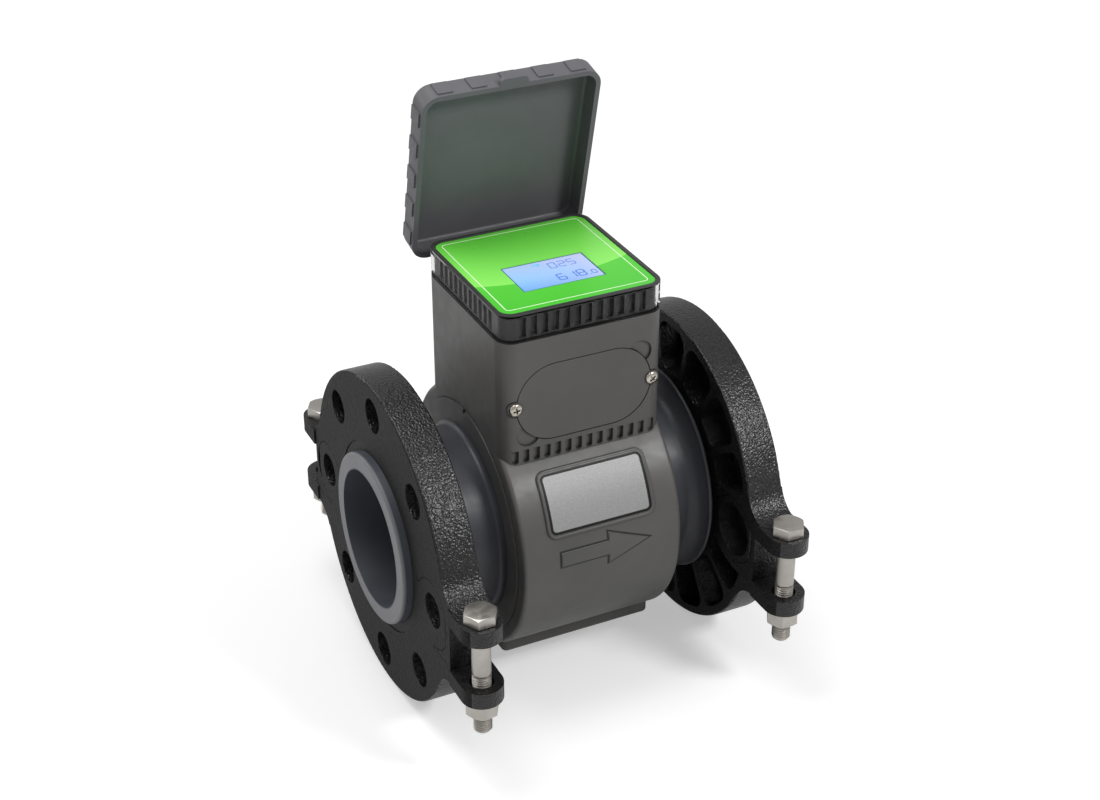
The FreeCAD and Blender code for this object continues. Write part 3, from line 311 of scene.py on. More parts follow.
def screw_paint():
    """Bright plated screw heads, with painted shade darkening their cross."""
    paint = Paint("plated_screw", srgb(196, 190, 178), 0.20, 1.0)
    paint.vary_color(300, srgb(180, 174, 162), srgb(208, 202, 192))
    paint.vary_roughness(500, 0.14, 0.28)
    # Painted shade: ambient occlusion darkens the cross recess and the head's foot
    paint.painted_crevice_shade(1.6 * MM, srgb(46, 40, 34), 1.0)
    return paint


def rubber_paint():
    """Matt black seal rubber."""
    paint = Paint("black_rubber", grey(24), 0.62, Specular_IOR_Level=0.3)
    paint.vary_color(120, grey(20), grey(29))
    paint.bump(paint.noise(900), 0.06, 0.5)
    return paint


def frame_paint():
    """Black moulded frame behind the clear cover and round the label."""
    paint = Paint("black_moulding", grey(52), 0.36, Specular_IOR_Level=0.4)
    paint.vary_color(60, grey(48), grey(57))
    paint.vary_roughness(200, 0.30, 0.44)
    paint.bump(paint.noise(1600), 0.03, 0.4)
    return paint


def clear_paint():
    """Lightly smoked clear plastic that lets the lamps through to the ribs behind it."""
    smoke = grey(222)
    paint = Paint("smoke_clear", smoke, 0.02, Transmission_Weight=1.0, IOR=1.06)
    paint.vary_roughness(50, 0.01, 0.04)
    rays = paint.nodes.new("ShaderNodeLightPath")
    open_way = paint.nodes.new("ShaderNodeBsdfTransparent")
    open_way.inputs["Color"].default_value = smoke
    choice = paint.nodes.new("ShaderNodeMixShader")
    sources = rays.outputs["Is Shadow Ray"], paint.shader.outputs["BSDF"], open_way.outputs["BSDF"]
    for source, socket in zip(sources, choice.inputs):
        paint.links.new(source, socket)
    paint.links.new(choice.outputs["Shader"], paint.nodes["Material Output"].inputs["Surface"])
    return paint


def lid_paint():
    """Moulded grey plastic of the lid, a little bluer than the housing."""
    paint = Paint("lid_moulding", srgb(94, 94, 97), 0.44, Specular_IOR_Level=0.4)
    paint.vary_color(16, srgb(91, 91, 94), srgb(98, 98, 102))
    paint.vary_roughness(100, 0.40, 0.54)
    paint.bump(paint.noise(2200, 2.0), 0.05, 0.5)
    return paint


# The label's curve in mm: its start, its fall, its bend from there past a second point, and how
# far its two greens fade
CURVE_LEFT, CURVE_MIDDLE = 56.4, 27.9
CURVE_START, CURVE_SLOPE, CURVE_BEND = -10.7, -0.2772, 0.00338
FADE_BEHIND, FADE_IN_FRONT = 70.0, 60.0


def label_paint():
    """Bright green sheet: a light field behind a sweeping curve, a deeper green in front."""
    paint = Paint("green_label", srgb(96, 206, 66), 0.30, Specular_IOR_Level=0.35)
    x = paint.math("MULTIPLY", paint.along("X"), 1 / MM)
    y = paint.math("MULTIPLY", paint.along("Y"), 1 / MM)
    left, middle = paint.math("ADD", x, CURVE_LEFT), paint.math("ADD", x, CURVE_MIDDLE)
    bend = paint.math("MULTIPLY", paint.math("MULTIPLY", left, middle), CURVE_BEND)
    slope = paint.math("ADD", paint.math("MULTIPLY", left, CURVE_SLOPE), bend)
    above = paint.math("SUBTRACT", y, paint.math("ADD", slope, CURVE_START))
    behind = paint.math("GREATER_THAN", above, 0.0)
    light = paint.ramp(paint.math("DIVIDE", above, FADE_BEHIND),
                       (0.0, srgb(140, 232, 100)), (0.9, srgb(98, 208, 64)))
    deep = paint.ramp(paint.math("DIVIDE", paint.math("ABSOLUTE", above), FADE_IN_FRONT),
                      (0.0, srgb(88, 202, 62)), (0.9, srgb(72, 188, 52)))
    paint.colored(paint.mix(behind, deep, light))
    paint.vary_roughness(40, 0.26, 0.36)
    return paint


def display_paint():
    """Backlit display, deeper blue in front and paler towards its right end."""
    paint = Paint("display", srgb(150, 190, 240), 0.22, Specular_IOR_Level=0.3)
    low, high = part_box("lcd_module")
    across = paint.math("DIVIDE", paint.math("SUBTRACT", paint.along("X"), low.x), high.x - low.x)
    up = paint.math("DIVIDE", paint.math("SUBTRACT", paint.along("Y"), low.y), high.y - low.y)
    left = paint.ramp(up, (0.0, srgb(116, 172, 238)), (0.45, srgb(150, 200, 246)),
                      (1.0, srgb(176, 204, 246)))
    right = paint.ramp(up, (0.0, srgb(176, 196, 244)), (0.5, srgb(186, 204, 248)),
                       (1.0, srgb(206, 210, 246)))
    color = paint.mix(paint.math("POWER", across, 1.4), left, right)
    cloud = paint.math("MULTIPLY", paint.noise(90), 0.08)
    paint.colored(paint.mix(cloud, color, srgb(150, 180, 236)))
    paint.vary_roughness(80, 0.18, 0.26)
    return paint


def ink_and_shade_paint(name, first, last):
    """Printed ink and a display's dark marks, also the dark line painted as shade round the
    display.
    """
    paint = Paint(name, first, 0.4, Specular_IOR_Level=0.2)
    paint.vary_color(200, first, last)
    return paint


def plate_paint():
    """Bare metal plate with a fine grain, and a dark band painted round its edge as the shade of
    the gap between plate and frame.
    """
    paint = Paint("bare_plate", grey(150), 0.5, 0.25, Specular_IOR_Level=0.3)
    metal = paint.ramp(paint.noise(1500, 2.0), (0.3, grey(140)), (0.7, grey(158)))
    across = paint.math("ABSOLUTE", paint.along("X"))
    up = paint.math("ADD", paint.math("MULTIPLY", paint.along("Y"), math.sin(PLATE_ANGLE)),
                    paint.math("MULTIPLY", paint.along("Z"), math.cos(PLATE_ANGLE)))
    past_corner = []
    for place, half in ((across, PLATE_HALF_X), (paint.math("ABSOLUTE", up), PLATE_HALF_Y)):
        past = paint.math("SUBTRACT", place, (half - PLATE_SHADE_BAND - PLATE_CORNER) * MM)
        past_corner.append(paint.math("MAXIMUM", past, 0.0))
    border = paint.math("GREATER_THAN", paint.hypotenuse(*past_corner), PLATE_CORNER * MM)
    # Painted shade: a near black band round the plate's edge stands for the shaded gap round it
    paint.colored(paint.mix(border, metal, grey(26)))
    paint.bump(paint.noise(1500, 2.0), 0.04, 0.6)
    return paint


def simple_paint(name, first, last, roughness, metallic=0.0):
    """A plain material that drifts between two colours."""
    paint = Paint(name, first, roughness, metallic)
    paint.vary_color(80, first, last)
    paint.bump(paint.noise(900), 0.03, 0.4)
    return paint


PAINTS = {
    "housing": housing_paint(),
    "lid_shell": lid_paint(),
    "tube": tube_paint(),
    "neck": neck_paint(),
    "iron": iron_paint("black_casting", 0.36, 0.5, 0.4),
    "stainless": steel_paint(),
    "screw": screw_paint(),
    "gasket": rubber_paint(),
    "frame": frame_paint(),
    "clear": clear_paint(),
    "label": label_paint(),
    "display": display_paint(),
    "board": simple_paint("board_green", srgb(20, 90, 50), srgb(26, 104, 58), 0.4),
    "cell": simple_paint("cell_sleeve", srgb(58, 70, 120), srgb(66, 80, 132), 0.35),
    "plate": plate_paint(),
    "copper": simple_paint("copper_winding", srgb(170, 96, 52), srgb(190, 112, 64), 0.4, 0.8),
    "soft_iron": simple_paint("core_iron", srgb(110, 110, 112), srgb(128, 128, 130), 0.45, 0.9),
}
WHITE_INK = ink_and_shade_paint("white_ink", srgb(222, 246, 204), srgb(232, 250, 218))
BLUE_INK = ink_and_shade_paint("display_marks", srgb(72, 116, 214), srgb(84, 126, 220))
PALE_INK = ink_and_shade_paint("display_arrow", srgb(112, 198, 246), srgb(122, 206, 250))
# Dark line painted round the display as the shade of the label's window wall
EDGE_SHADE = ink_and_shade_paint("display_edge_shade", srgb(66, 94, 140), srgb(76, 104, 150))
IRON_FACE = iron_paint("black_casting_face", 0.6, 0.15, 0.3)
# Near black painted shade round the flow arrow's foot
ARROW_FOOT_SHADE = simple_paint("painted_foot_shade", grey(26), grey(34), 0.6)


def dress(item, paint):
    """Give an object one material."""
    item.data.materials.clear()
    item.data.materials.append(paint.material)


for name, item in frame["nodes"].items():
    dress(item, PAINTS[SLOTS[name]])


# Making pieces

# Distances in mm within which points are joined, and degrees within which faces count as flat
WELD, WIDE_WELD = 0.001, 0.002
FLAT_ANGLE = 0.4
EASE_SEGMENTS = 2


def adopt(mesh, name, node, paint=None, stands_for=True):
    """Put a new mesh in the scene on a CAD node's body, in the node's place or laid on it."""
    item = bpy.data.objects.new(name, mesh)
    bpy.context.scene.collection.objects.link(item)
    dress(item, paint or PAINTS[SLOTS[node]])
    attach(item, BODY_OF[node])
    if stands_for:
        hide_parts(node)
    return item


def mesh_from(form, name):
    """Turn a bmesh into a mesh with its normals set outwards."""
    bmesh.ops.remove_doubles(form, verts=form.verts, dist=WELD * MM)
    bmesh.ops.dissolve_degenerate(form, dist=WELD * MM, edges=form.edges)
    bmesh.ops.recalc_face_normals(form, faces=form.faces)
    mesh = bpy.data.meshes.new(name)
    form.to_mesh(mesh)
    form.free()
    return mesh


def apply_modifiers(item):
    """Bake an object's modifiers into its mesh."""
    graph = bpy.context.evaluated_depsgraph_get()
    mesh = bpy.data.meshes.new_from_object(item.evaluated_get(graph))
    mesh.name = item.data.name
    item.modifiers.clear()
    item.data = mesh


def smooth(item, angle):
    """Shade smooth, with sharp edges past an angle, and weigh normals by face area."""
    item.data.shade_smooth()
    item.data.set_sharp_from_angle(angle=math.radians(angle))
    weigh = item.modifiers.new("weigh", "WEIGHTED_NORMAL")
    weigh.keep_sharp = True
    apply_modifiers(item)


def ease(item, width, angle=28):
    """Round every edge past an angle with a small bevel, its width in mm."""
    bevel = item.modifiers.new("ease", "BEVEL")
    bevel.width = width * MM
    bevel.segments = EASE_SEGMENTS
    bevel.limit_method = "ANGLE"
    bevel.angle_limit = math.radians(angle)
    bevel.miter_outer = "MITER_ARC"
    bevel.use_clamp_overlap = True
    apply_modifiers(item)
    smooth(item, 35)
    return item


def eased(node, width):
    """A copy of a CAD node with every sharp edge rounded by a small bevel."""
    mesh = frame["nodes"][node].data.copy()
    mesh.name = node + "_eased"
    if "custom_normal" in mesh.attributes:
        mesh.attributes.remove(mesh.attributes["custom_normal"])
    form = bmesh.new()
    form.from_mesh(mesh)
    bmesh.ops.remove_doubles(form, verts=form.verts, dist=WIDE_WELD * MM)
    bmesh.ops.dissolve_degenerate(form, dist=WELD * MM, edges=form.edges)
    bmesh.ops.dissolve_limit(form, angle_limit=math.radians(FLAT_ANGLE), verts=form.verts,
                             edges=form.edges, delimit={"NORMAL"})
    form.to_mesh(mesh)
    form.free()
    return ease(adopt(mesh, node + "_finish", node), width)


def rings(form, loops):
    """Join loops of points, each a ring of equal length, into a skin."""
    rows = [[form.verts.new(point) for point in loop] for loop in loops]
    for low, high in zip(rows, rows[1:]):
        for index in range(len(low)):
            after = (index + 1) % len(low)
            form.faces.new([low[index], low[after], high[after], high[index]])
    return rows


def spun(form, profile, steps, center):
    """Turn a profile about an upright axis; profile(angle) gives (radius, height) pairs in mm."""
    angles = [math.tau * step / steps for step in range(steps)]
    shapes = [profile(angle) for angle in angles]
    loops = []
    for place in range(len(shapes[0])):
        loops.append([Vector((center[0] + shape[place][0] * math.cos(angle) * MM,
                              center[1] + shape[place][0] * math.sin(angle) * MM,
                              shape[place][1] * MM))
                      for angle, shape in zip(angles, shapes)])
    rings(form, loops)


# Pieces made from the CAD nodes with their edges eased by a width in mm

EASED = {
    "flange_left_upper": 0.9,
    "flange_left_lower": 0.9,
    "flange_right_upper": 0.9,
    "flange_right_lower": 0.9,
    "sensor_housing": 0.5,
    "base_plate": 0.7,
    "terminal_cover": 0.75,
    "lid": 0.6,
    "bezel": 0.5,
    "neck_left": 0.8,
    "neck_right": 0.8,
    "end_cap_left": 0.4,
    "end_cap_right": 0.4,
    "measuring_tube": 0.6,
}
# A casting's face counts as one that looks along the pipe past this share of its normal.
FACING_PIPE = 0.8

for node, width in EASED.items():
    item = eased(node, width)
    if SLOTS[node] == "iron":
        item.data.materials.append(IRON_FACE.material)
        for face in item.data.polygons:
            if abs(face.normal.x) > FACING_PIPE:
                face.material_index = 1


# Hexagon bolts with cut threads, and their nuts

THREAD_TOP = -21.0
THREAD_PITCH = 1.75
THREAD_STEPS = 40
THREAD_DEPTH = 1.0
# One turn of thread from its top down: (share of the pitch, share of the depth)
THREAD_SHAPE = ((0.0, 0.0), (0.1, 0.0), (0.42, 1.0), (0.58, 1.0), (0.9, 0.0))
SHANK_RADIUS = 6.0
# Where the smooth shank runs out into the thread
RUNOUT_ABOVE, RUNOUT_BELOW, RUNOUT_DEPTH = 0.9, 0.4, 1.2
TIP_CONE = 1.6
HEAD_HEIGHT = 7.5
WASHER_FACE = 0.5
HEX_STEPS = 72
HEX_SLOPE = 0.5
HEAD_FLAT, NUT_FLAT = 0.94, 0.95
NUT_PLAY = 0.15
NUT_SINK = 0.6


def middle_of(node):
    """A node's middle in metres, and its box's two corners in mm."""
    low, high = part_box(node)
    return (low + high) / 2, low / MM, high / MM


def hex_edge(flats, angle):
    """Distance from the axis to a hexagon's side, a corner lying on the X axis."""
    sixth = math.pi / 3
    return flats / 2 / math.cos((angle % sixth) - sixth / 2)


def bolt_profile(flats, low, high):
    """The head of a bolt over its smooth shank, from the top down."""
    flat = flats / 2 * HEAD_FLAT
    under = low + WASHER_FACE

    def profile(angle):
        edge = hex_edge(flats, angle)
        return [(0, high), (flat, high), (edge, high - (edge - flat) * HEX_SLOPE),
                (edge, under), (flat, under), (flat, low), (SHANK_RADIUS, low),
                (SHANK_RADIUS, THREAD_TOP + RUNOUT_ABOVE),
                (SHANK_RADIUS - RUNOUT_DEPTH, THREAD_TOP - RUNOUT_BELOW),
                (0, THREAD_TOP - RUNOUT_BELOW)]
    return profile


def nut_profile(flats, low, high):
    """A nut's ring: chamfered sides, a bore and its countersinks."""
    flat = flats / 2 * NUT_FLAT
    bore = SHANK_RADIUS + NUT_PLAY

    def profile(angle):
        edge = hex_edge(flats, angle)
        drop = (edge - flat) * HEX_SLOPE
        return [(bore, high - NUT_SINK), (bore + NUT_SINK, high), (flat, high),
                (edge, high - drop), (edge, low + drop), (flat, low),
                (bore + NUT_SINK, low), (bore, low + NUT_SINK), (bore, high - NUT_SINK)]
    return profile


def thread_form(form, center, low):
    """A helical thread from the shank's end down to the bolt's tip."""
    turns = math.ceil((THREAD_TOP - low) / THREAD_PITCH) + 2
    loops = []
    for step in range(turns * THREAD_STEPS + 1):
        angle = math.tau * step / THREAD_STEPS
        start = THREAD_TOP + THREAD_PITCH - THREAD_PITCH * step / THREAD_STEPS
        loop = []
        for share, rise in THREAD_SHAPE:
            height = max(low, min(THREAD_TOP, start - share * THREAD_PITCH))
            limit = SHANK_RADIUS - max(0.0, TIP_CONE - (height - low))
            radius = min(limit, SHANK_RADIUS - THREAD_DEPTH * (1 - rise))
            if height in (low, THREAD_TOP):
                radius = SHANK_RADIUS - TIP_CONE
            loop.append(Vector((center[0] + radius * math.cos(angle) * MM,
                                center[1] + radius * math.sin(angle) * MM, height * MM)))
        loops.append(loop)
    rows = [[form.verts.new(point) for point in loop] for loop in loops]
    for here, after in zip(rows, rows[1:]):
        for lower in range(1, len(THREAD_SHAPE)):
            upper = lower - 1
            form.faces.new((here[upper], after[upper], after[lower], here[lower]))
    for step in range(len(rows) - THREAD_STEPS - 1):
        here, after = rows[step], rows[step + 1]
        below, below_after = rows[step + THREAD_STEPS], rows[step + THREAD_STEPS + 1]
        form.faces.new((here[-1], after[-1], below_after[0], below[0]))


def close_ends(form):
    """Cap every open loop that is left on a form."""
    bmesh.ops.remove_doubles(form, verts=form.verts, dist=WIDE_WELD * MM)
    bmesh.ops.dissolve_degenerate(form, dist=WIDE_WELD * MM, edges=form.edges)
    bmesh.ops.holes_fill(form, edges=form.edges, sides=0)


def threaded_bolt(node):
    """A hexagon bolt with a cut thread, its head up, in place of a node."""
    center, low, high = middle_of(node)
    form = bmesh.new()
    thread_form(form, center, low.z)
    close_ends(form)
    spun(form, bolt_profile(high.y - low.y, high.z - HEAD_HEIGHT, high.z), HEX_STEPS, center)
    item = adopt(mesh_from(form, node + "_threaded"), node + "_threaded", node)
    smooth(item, 32)


def chamfered_nut(node):
    """A hexagon nut with chamfered corners, in place of a node."""
    center, low, high = middle_of(node)
    form = bmesh.new()
    spun(form, nut_profile(high.y - low.y, low.z, high.z), HEX_STEPS, center)
    item = adopt(mesh_from(form, node + "_chamfered"), node + "_chamfered", node)
    smooth(item, 24)


for end in ("left", "right"):
    for face in ("front", "rear"):
        threaded_bolt("draw_bolt_%s_%s" % (end, face))
        chamfered_nut("draw_nut_%s_%s" % (end, face))


# Cross-head screws of the terminal cover

# How far each side's cross is turned, in degrees
SCREW_TURN = {-1: 8, 1: 40}
SCREW_STEPS = 64
SCREW_EASE, SCREW_EASE_ANGLE = 0.12, 40
# The head's dome from its middle out, as (radius, height) in mm, its rim and its shank
SCREW_DOME = ((0, 0), (1.6, -0.06), (2.9, -0.28), (3.7, -0.62), (4.15, -1.05))
SCREW_RIM, SCREW_UNDER = -1.55, -2.2
SCREW_SHANK, SCREW_TIP, SCREW_TAPER = 1.9, 1.3, 0.6
# The cross at its top and at its bottom: half a slot's length, half its width, its height
CROSS_TOP = (2.7, 0.62, 0.4)
CROSS_BOTTOM = (1.5, 0.42, -1.7)


def upright(point, center):
    """Take a point in mm of a form drawn about the Z axis to a place, its top facing the front."""
    return Vector((center.x + point[0] * MM, center.y - point[2] * MM, center.z + point[1] * MM))


def plus_outline(long, wide, turn):
    """The twelve corners of a plus sign."""
    corners = []
    for quarter in range(4):
        angle = math.radians(turn) + quarter * math.pi / 2
        for along, across in ((long, -wide), (long, wide), (wide, wide)):
            corners.append((along * math.cos(angle) - across * math.sin(angle),
                            along * math.sin(angle) + across * math.cos(angle)))
    return corners


def screw_head(side):
    """A domed head, cut by a tapered cross, over the screw's shank."""
    low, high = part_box("terminal_cover_screws")
    radius = (high.z - low.z) / 2 / MM
    across = low.x + radius * MM if side < 0 else high.x - radius * MM
    face = Vector((across, low.y, (low.z + high.z) / 2))
    depth = (high.y - low.y) / MM
    head = bmesh.new()
    outline = [*SCREW_DOME, (radius, SCREW_RIM), (radius, SCREW_UNDER), (SCREW_SHANK, SCREW_UNDER),
               (SCREW_SHANK, -depth + SCREW_TAPER), (SCREW_TIP, -depth), (0, -depth)]
    loops = []
    for reach, rise in outline:
        loops.append([upright((reach * math.cos(math.tau * step / SCREW_STEPS),
                               reach * math.sin(math.tau * step / SCREW_STEPS), rise), face)
                      for step in range(SCREW_STEPS)])
    rings(head, loops)
    name = "terminal_screw_" + ("left" if side < 0 else "right")
    item = adopt(mesh_from(head, name), name, "terminal_cover_screws")
    tool_form = bmesh.new()
    cross = [[upright((x, y, height), face) for x, y in plus_outline(long, wide, SCREW_TURN[side])]
             for long, wide, height in (CROSS_TOP, CROSS_BOTTOM)]
    for row in rings(tool_form, cross):
        tool_form.faces.new(row)
    tool = bpy.data.objects.new("cross_tool", mesh_from(tool_form, "cross_tool"))
    bpy.context.scene.collection.objects.link(tool)
    cutting = item.modifiers.new("cross", "BOOLEAN")
    cutting.operation = "DIFFERENCE"
    cutting.solver = "EXACT"
    cutting.object = tool
    apply_modifiers(item)
    bpy.data.objects.remove(tool)
    ease(item, SCREW_EASE, SCREW_EASE_ANGLE)


for side in (-1, 1):
    screw_head(side)


# Raised forms on the barrel: the bead round the nameplate and the flow arrow

WRAP_STEP = 2.0
CORNER_STEPS = 6
ARROW_OUTLINE = ((-29.5, -4.4), (3.8, -4.4), (3.8, -10.2), (30.4, 0.0), (3.8, 10.2), (3.8, 4.4),
                 (-29.5, 4.4))
# How far each layer stands out from an outline, and its height over the barrel; the low outer
# layers make a flat foot ring that carries painted shade
ARROW_LAYERS = ((1.6, -0.1), (1.55, 0.08), (0.6, 0.1), (0.5, 0.45), (0.2, 0.6), (0.0, 0.62))
# Faces of the arrow below this height in mm, its foot ring and low side walls, get the painted
# shade
ARROW_FOOT = 0.35
BEAD_LAYERS = ((3.1, -0.1), (2.9, 0.75), (2.4, 1.35), (1.75, 1.55), (1.1, 1.35), (0.7, 0.8),
               (0.6, -0.1))
BEAD_CORNER = 3.5


def rounded_points(half_x, half_y, corner):
    """Points round a rectangle with rounded corners, from its right side anticlockwise."""
    points = []
    for quarter in range(4):
        for step in range(CORNER_STEPS + 1):
            angle = (quarter + step / CORNER_STEPS) * math.pi / 2
            side_x = 1 if quarter in (0, 3) else -1
            side_y = 1 if quarter in (0, 1) else -1
            points.append((side_x * (half_x - corner) + corner * math.cos(angle),
                           side_y * (half_y - corner) + corner * math.sin(angle)))
    return points


def widened(outline, distance):
    """A polygon's outline moved outwards by a distance, its corners kept sharp."""
    moved = []
    for index, (x, y) in enumerate(outline):
        before = Vector(outline[index - 1])
        after = Vector(outline[(index + 1) % len(outline)])
        here = Vector((x, y))
        into, out = (here - before).normalized(), (after - here).normalized()
        normal_in, normal_out = Vector((into.y, -into.x)), Vector((out.y, -out.x))
        miter = (normal_in + normal_out) / (1 + normal_in.dot(normal_out))
        moved.append(tuple(here + miter * distance))
    return moved


def wrapped(name, layers, angle, level, capped):
    """Lay a stack of outlines in mm, each with its height, on the barrel.

    They are turned up from the front by an angle and raised by a level, and an uncapped stack
    closes on its first outline.
    """
    form = bmesh.new()
    loops = [[Vector((x, height, y + level)) for x, y in outline] for outline, height in layers]
    rows = rings(form, loops if capped else loops + [loops[0]])
    if capped:
        form.faces.new(rows[0][::-1])
        form.faces.new(rows[-1])
    bmesh.ops.remove_doubles(form, verts=form.verts, dist=WELD)
    reach = max(abs(y + level) for outline, height in layers for x, y in outline)
    for step in range(-int(reach / WRAP_STEP), int(reach / WRAP_STEP) + 1):
        everything = form.verts[:] + form.edges[:] + form.faces[:]
        bmesh.ops.bisect_plane(form, geom=everything, plane_co=(0, 0, step * WRAP_STEP),
                               plane_no=(0, 0, 1))
    for vertex in form.verts:
        turn = angle + math.asin(vertex.co.z / BARREL)
        radius = BARREL + vertex.co.y
        vertex.co = Vector((vertex.co.x, -radius * math.cos(turn), radius * math.sin(turn))) * MM
    item = adopt(mesh_from(form, name), name, "sensor_housing", stands_for=False)
    smooth(item, 50)
    return item


def nameplate_bead():
    """A rounded bead on the housing all round the nameplate."""
    layers = []
    for out, height in BEAD_LAYERS:
        outline = rounded_points(PLATE_HALF_X + out, PLATE_HALF_Y + out, BEAD_CORNER + out)
        layers.append((outline, height))
    wrapped("nameplate_bead", layers, PLATE_ANGLE, 0.0, capped=False)


def flow_arrow():
    """A raised arrow on the housing below the nameplate, with painted shade round its foot."""
    level = BARREL * math.sin(ARROW_ANGLE)
    layers = [(widened(ARROW_OUTLINE, out), height) for out, height in ARROW_LAYERS]
    item = wrapped("flow_arrow", layers, 0.0, level, capped=True)
    item.data.materials.append(ARROW_FOOT_SHADE.material)
    for face in item.data.polygons:
        height = math.hypot(face.center.y, face.center.z) / MM - BARREL
        if height < ARROW_FOOT:
            face.material_index = 1


nameplate_bead()
flow_arrow()


# Print on the label, the display's marks, and the painted shade line round the display

LABEL_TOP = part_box("face_label")[1].z
DISPLAY_LOW, DISPLAY_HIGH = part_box("lcd_module")
# Height in mm of the thin printed layers and of the painted shade line round the display
THIN_LAYER = 0.05
LEAST_CORNER = 0.05
# Half the border's sizes, its corner, its width and its middle
LABEL_BORDER = (48.4, 50.5, 3.0, 0.6, (0, 0.8))
# The display's dark edge line, painted shade from the label's window wall: its corner and width
EDGE_CORNER, EDGE_WIDTH = 0.4, 0.7
# Rows of digits: the digits, the middle of the first, the pitch, a digit's width, height and line
UPPER_ROW = ("025", (3.6, -4.8), 6.4, 4.4, 7.2, 0.6)
LOWER_ROW = ("618", (2.0, -21.6), 6.8, 4.8, 8.0, 0.85)
# After the lower row: the point's two ends and thickness, and a small digit's place and sizes
POINT_START, POINT_END, POINT_WIDE = -2.4, -1.2, 1.2
SMALL_PLACE, SMALL_SIZES = (1.2, 2.3), (2.8, 4.6, 0.7)
DISPLAY_ARROW = ((-9.0, -1.1), (-5.6, -1.1), (-5.6, -2.9), (-2.6, -0.6), (-5.6, 1.7), (-5.6, -0.1),
                 (-9.0, -0.1))
# The bars that are lit for each digit, and the gap between bars as a share of their width
SEGMENTS = {
    "0": "abcdef", "1": "bc", "2": "abged", "5": "afgcd", "6": "afgedc", "8": "abcdefg",
}
SEGMENT_GAP = 0.12


def flat_piece(name, outlines, top, paint, node):
    """Thin raised shapes on a flat face: each outline is a ring of (x, y) points in mm."""
    form = bmesh.new()
    for outline in outlines:
        lower = [Vector((x * MM, y * MM, top)) for x, y in outline]
        upper = [Vector((x * MM, y * MM, top + THIN_LAYER * MM)) for x, y in outline]
        rows = rings(form, [lower, upper])
        form.faces.new(rows[0][::-1])
        form.faces.new(rows[1])
    adopt(mesh_from(form, name), name, node, paint, stands_for=False)


def strip(name, half_x, half_y, corner, width, center, top, paint, node):
    """A thin line round the inside of a rounded rectangle: print on the label, and painted shade
    round the display.
    """
    form = bmesh.new()
    outer = rounded_points(half_x, half_y, corner)
    inner = rounded_points(half_x - width, half_y - width, max(corner - width, LEAST_CORNER))
    loops = []
    for outline, height in ((inner, 0), (outer, 0), (outer, THIN_LAYER), (inner, THIN_LAYER), (inner, 0)):
        loops.append([Vector(((center[0] + x) * MM, (center[1] + y) * MM, top + height * MM))
                      for x, y in outline])
    rings(form, loops)
    adopt(mesh_from(form, name), name, node, paint, stands_for=False)


def bar(start, end, width):
    """A flat bar between two points with pointed ends, as on a display's digit."""
    along = Vector((end[0] - start[0], end[1] - start[1]))
    length = along.length
    along.normalize()
    across = Vector((-along.y, along.x)) * width / 2
    first, last = Vector(start), Vector(end)
    tuck = along * min(width / 2, length / 2)
    return [tuple(point) for point in (first, first + tuck - across, last - tuck - across, last,
                                       last - tuck + across, first + tuck + across)]


def digit(mark, center, wide, high, width):
    """One digit of seven bars."""
    x, y = center
    left, right, gap = x - wide / 2, x + wide / 2, width * SEGMENT_GAP
    low, top = y - high / 2, y + high / 2
    ends = {
        "a": ((left + gap, top), (right - gap, top)),
        "b": ((right, top - gap), (right, y + gap)),
        "c": ((right, y - gap), (right, low + gap)),
        "d": ((left + gap, low), (right - gap, low)),
        "e": ((left, y - gap), (left, low + gap)),
        "f": ((left, top - gap), (left, y + gap)),
        "g": ((left + gap, y), (right - gap, y)),
    }
    return [bar(*ends[segment], width) for segment in SEGMENTS[mark]]


def digit_row(marks, first, pitch, wide, high, width):
    """Digits side by side."""
    shapes = []
    for index, mark in enumerate(marks):
        shapes += digit(mark, (first[0] + index * pitch, first[1]), wide, high, width)
    return shapes


def display_marks():
    """Two rows of digits, an arrow, and a dark line round the display's edge that is painted shade
    from the label's window wall.
    """
    top = DISPLAY_HIGH.z
    shapes = digit_row(*UPPER_ROW) + digit_row(*LOWER_ROW)
    marks, first, pitch, wide, high, width = LOWER_ROW
    end = first[0] + pitch * len(marks)
    base = first[1] - high / 2
    shapes.append(bar((end + POINT_START, base), (end + POINT_END, base), width * POINT_WIDE))
    shapes += digit("0", (end + SMALL_PLACE[0], base + SMALL_PLACE[1]), *SMALL_SIZES)
    flat_piece("display_digits", shapes, top, BLUE_INK, "lcd_module")
    flat_piece("display_arrow", [DISPLAY_ARROW], top, PALE_INK, "lcd_module")
    half_x = (DISPLAY_HIGH.x - DISPLAY_LOW.x) / 2 / MM
    half_y = (DISPLAY_HIGH.y - DISPLAY_LOW.y) / 2 / MM
    center = (DISPLAY_HIGH + DISPLAY_LOW) / 2 / MM
    strip("display_edge_shade", half_x, half_y, EDGE_CORNER, EDGE_WIDTH, (center.x, center.y), top,
          EDGE_SHADE, "lcd_module")


display_marks()
strip("label_border", *LABEL_BORDER, LABEL_TOP, WHITE_INK, "face_label")


# Camera, floor and light

CAMERA_PLACE = Vector((-0.48076, -0.99844, 0.71207))
CAMERA_TARGET = Vector((0.0044, 0, 0.07058))
FOCAL_PIXELS, PICTURE_WIDTH = 1967.5, 1100
LAMP_TARGET = Vector((0, 0, 0.05))
WHITE = (1, 1, 1, 1)
# How far glossy rays see the white studio, between soft light at 0 and the camera at 1
GLOSS_SHARE = 0.2
# The backdrop's strength for soft light
SKY_SHARE = 0.40
FLOOR_HALF = 12
FLOOR_GAP = 0.2 * MM
FLOOR_TONE = (0.72, 0.72, 0.72, 1)
# The floor's glow near the meter and far from it, and where it changes, in metres
GLOW_NEAR, GLOW_FAR = 0.40, 0.75
GLOW_FROM, GLOW_TO = 0.5, 2.2


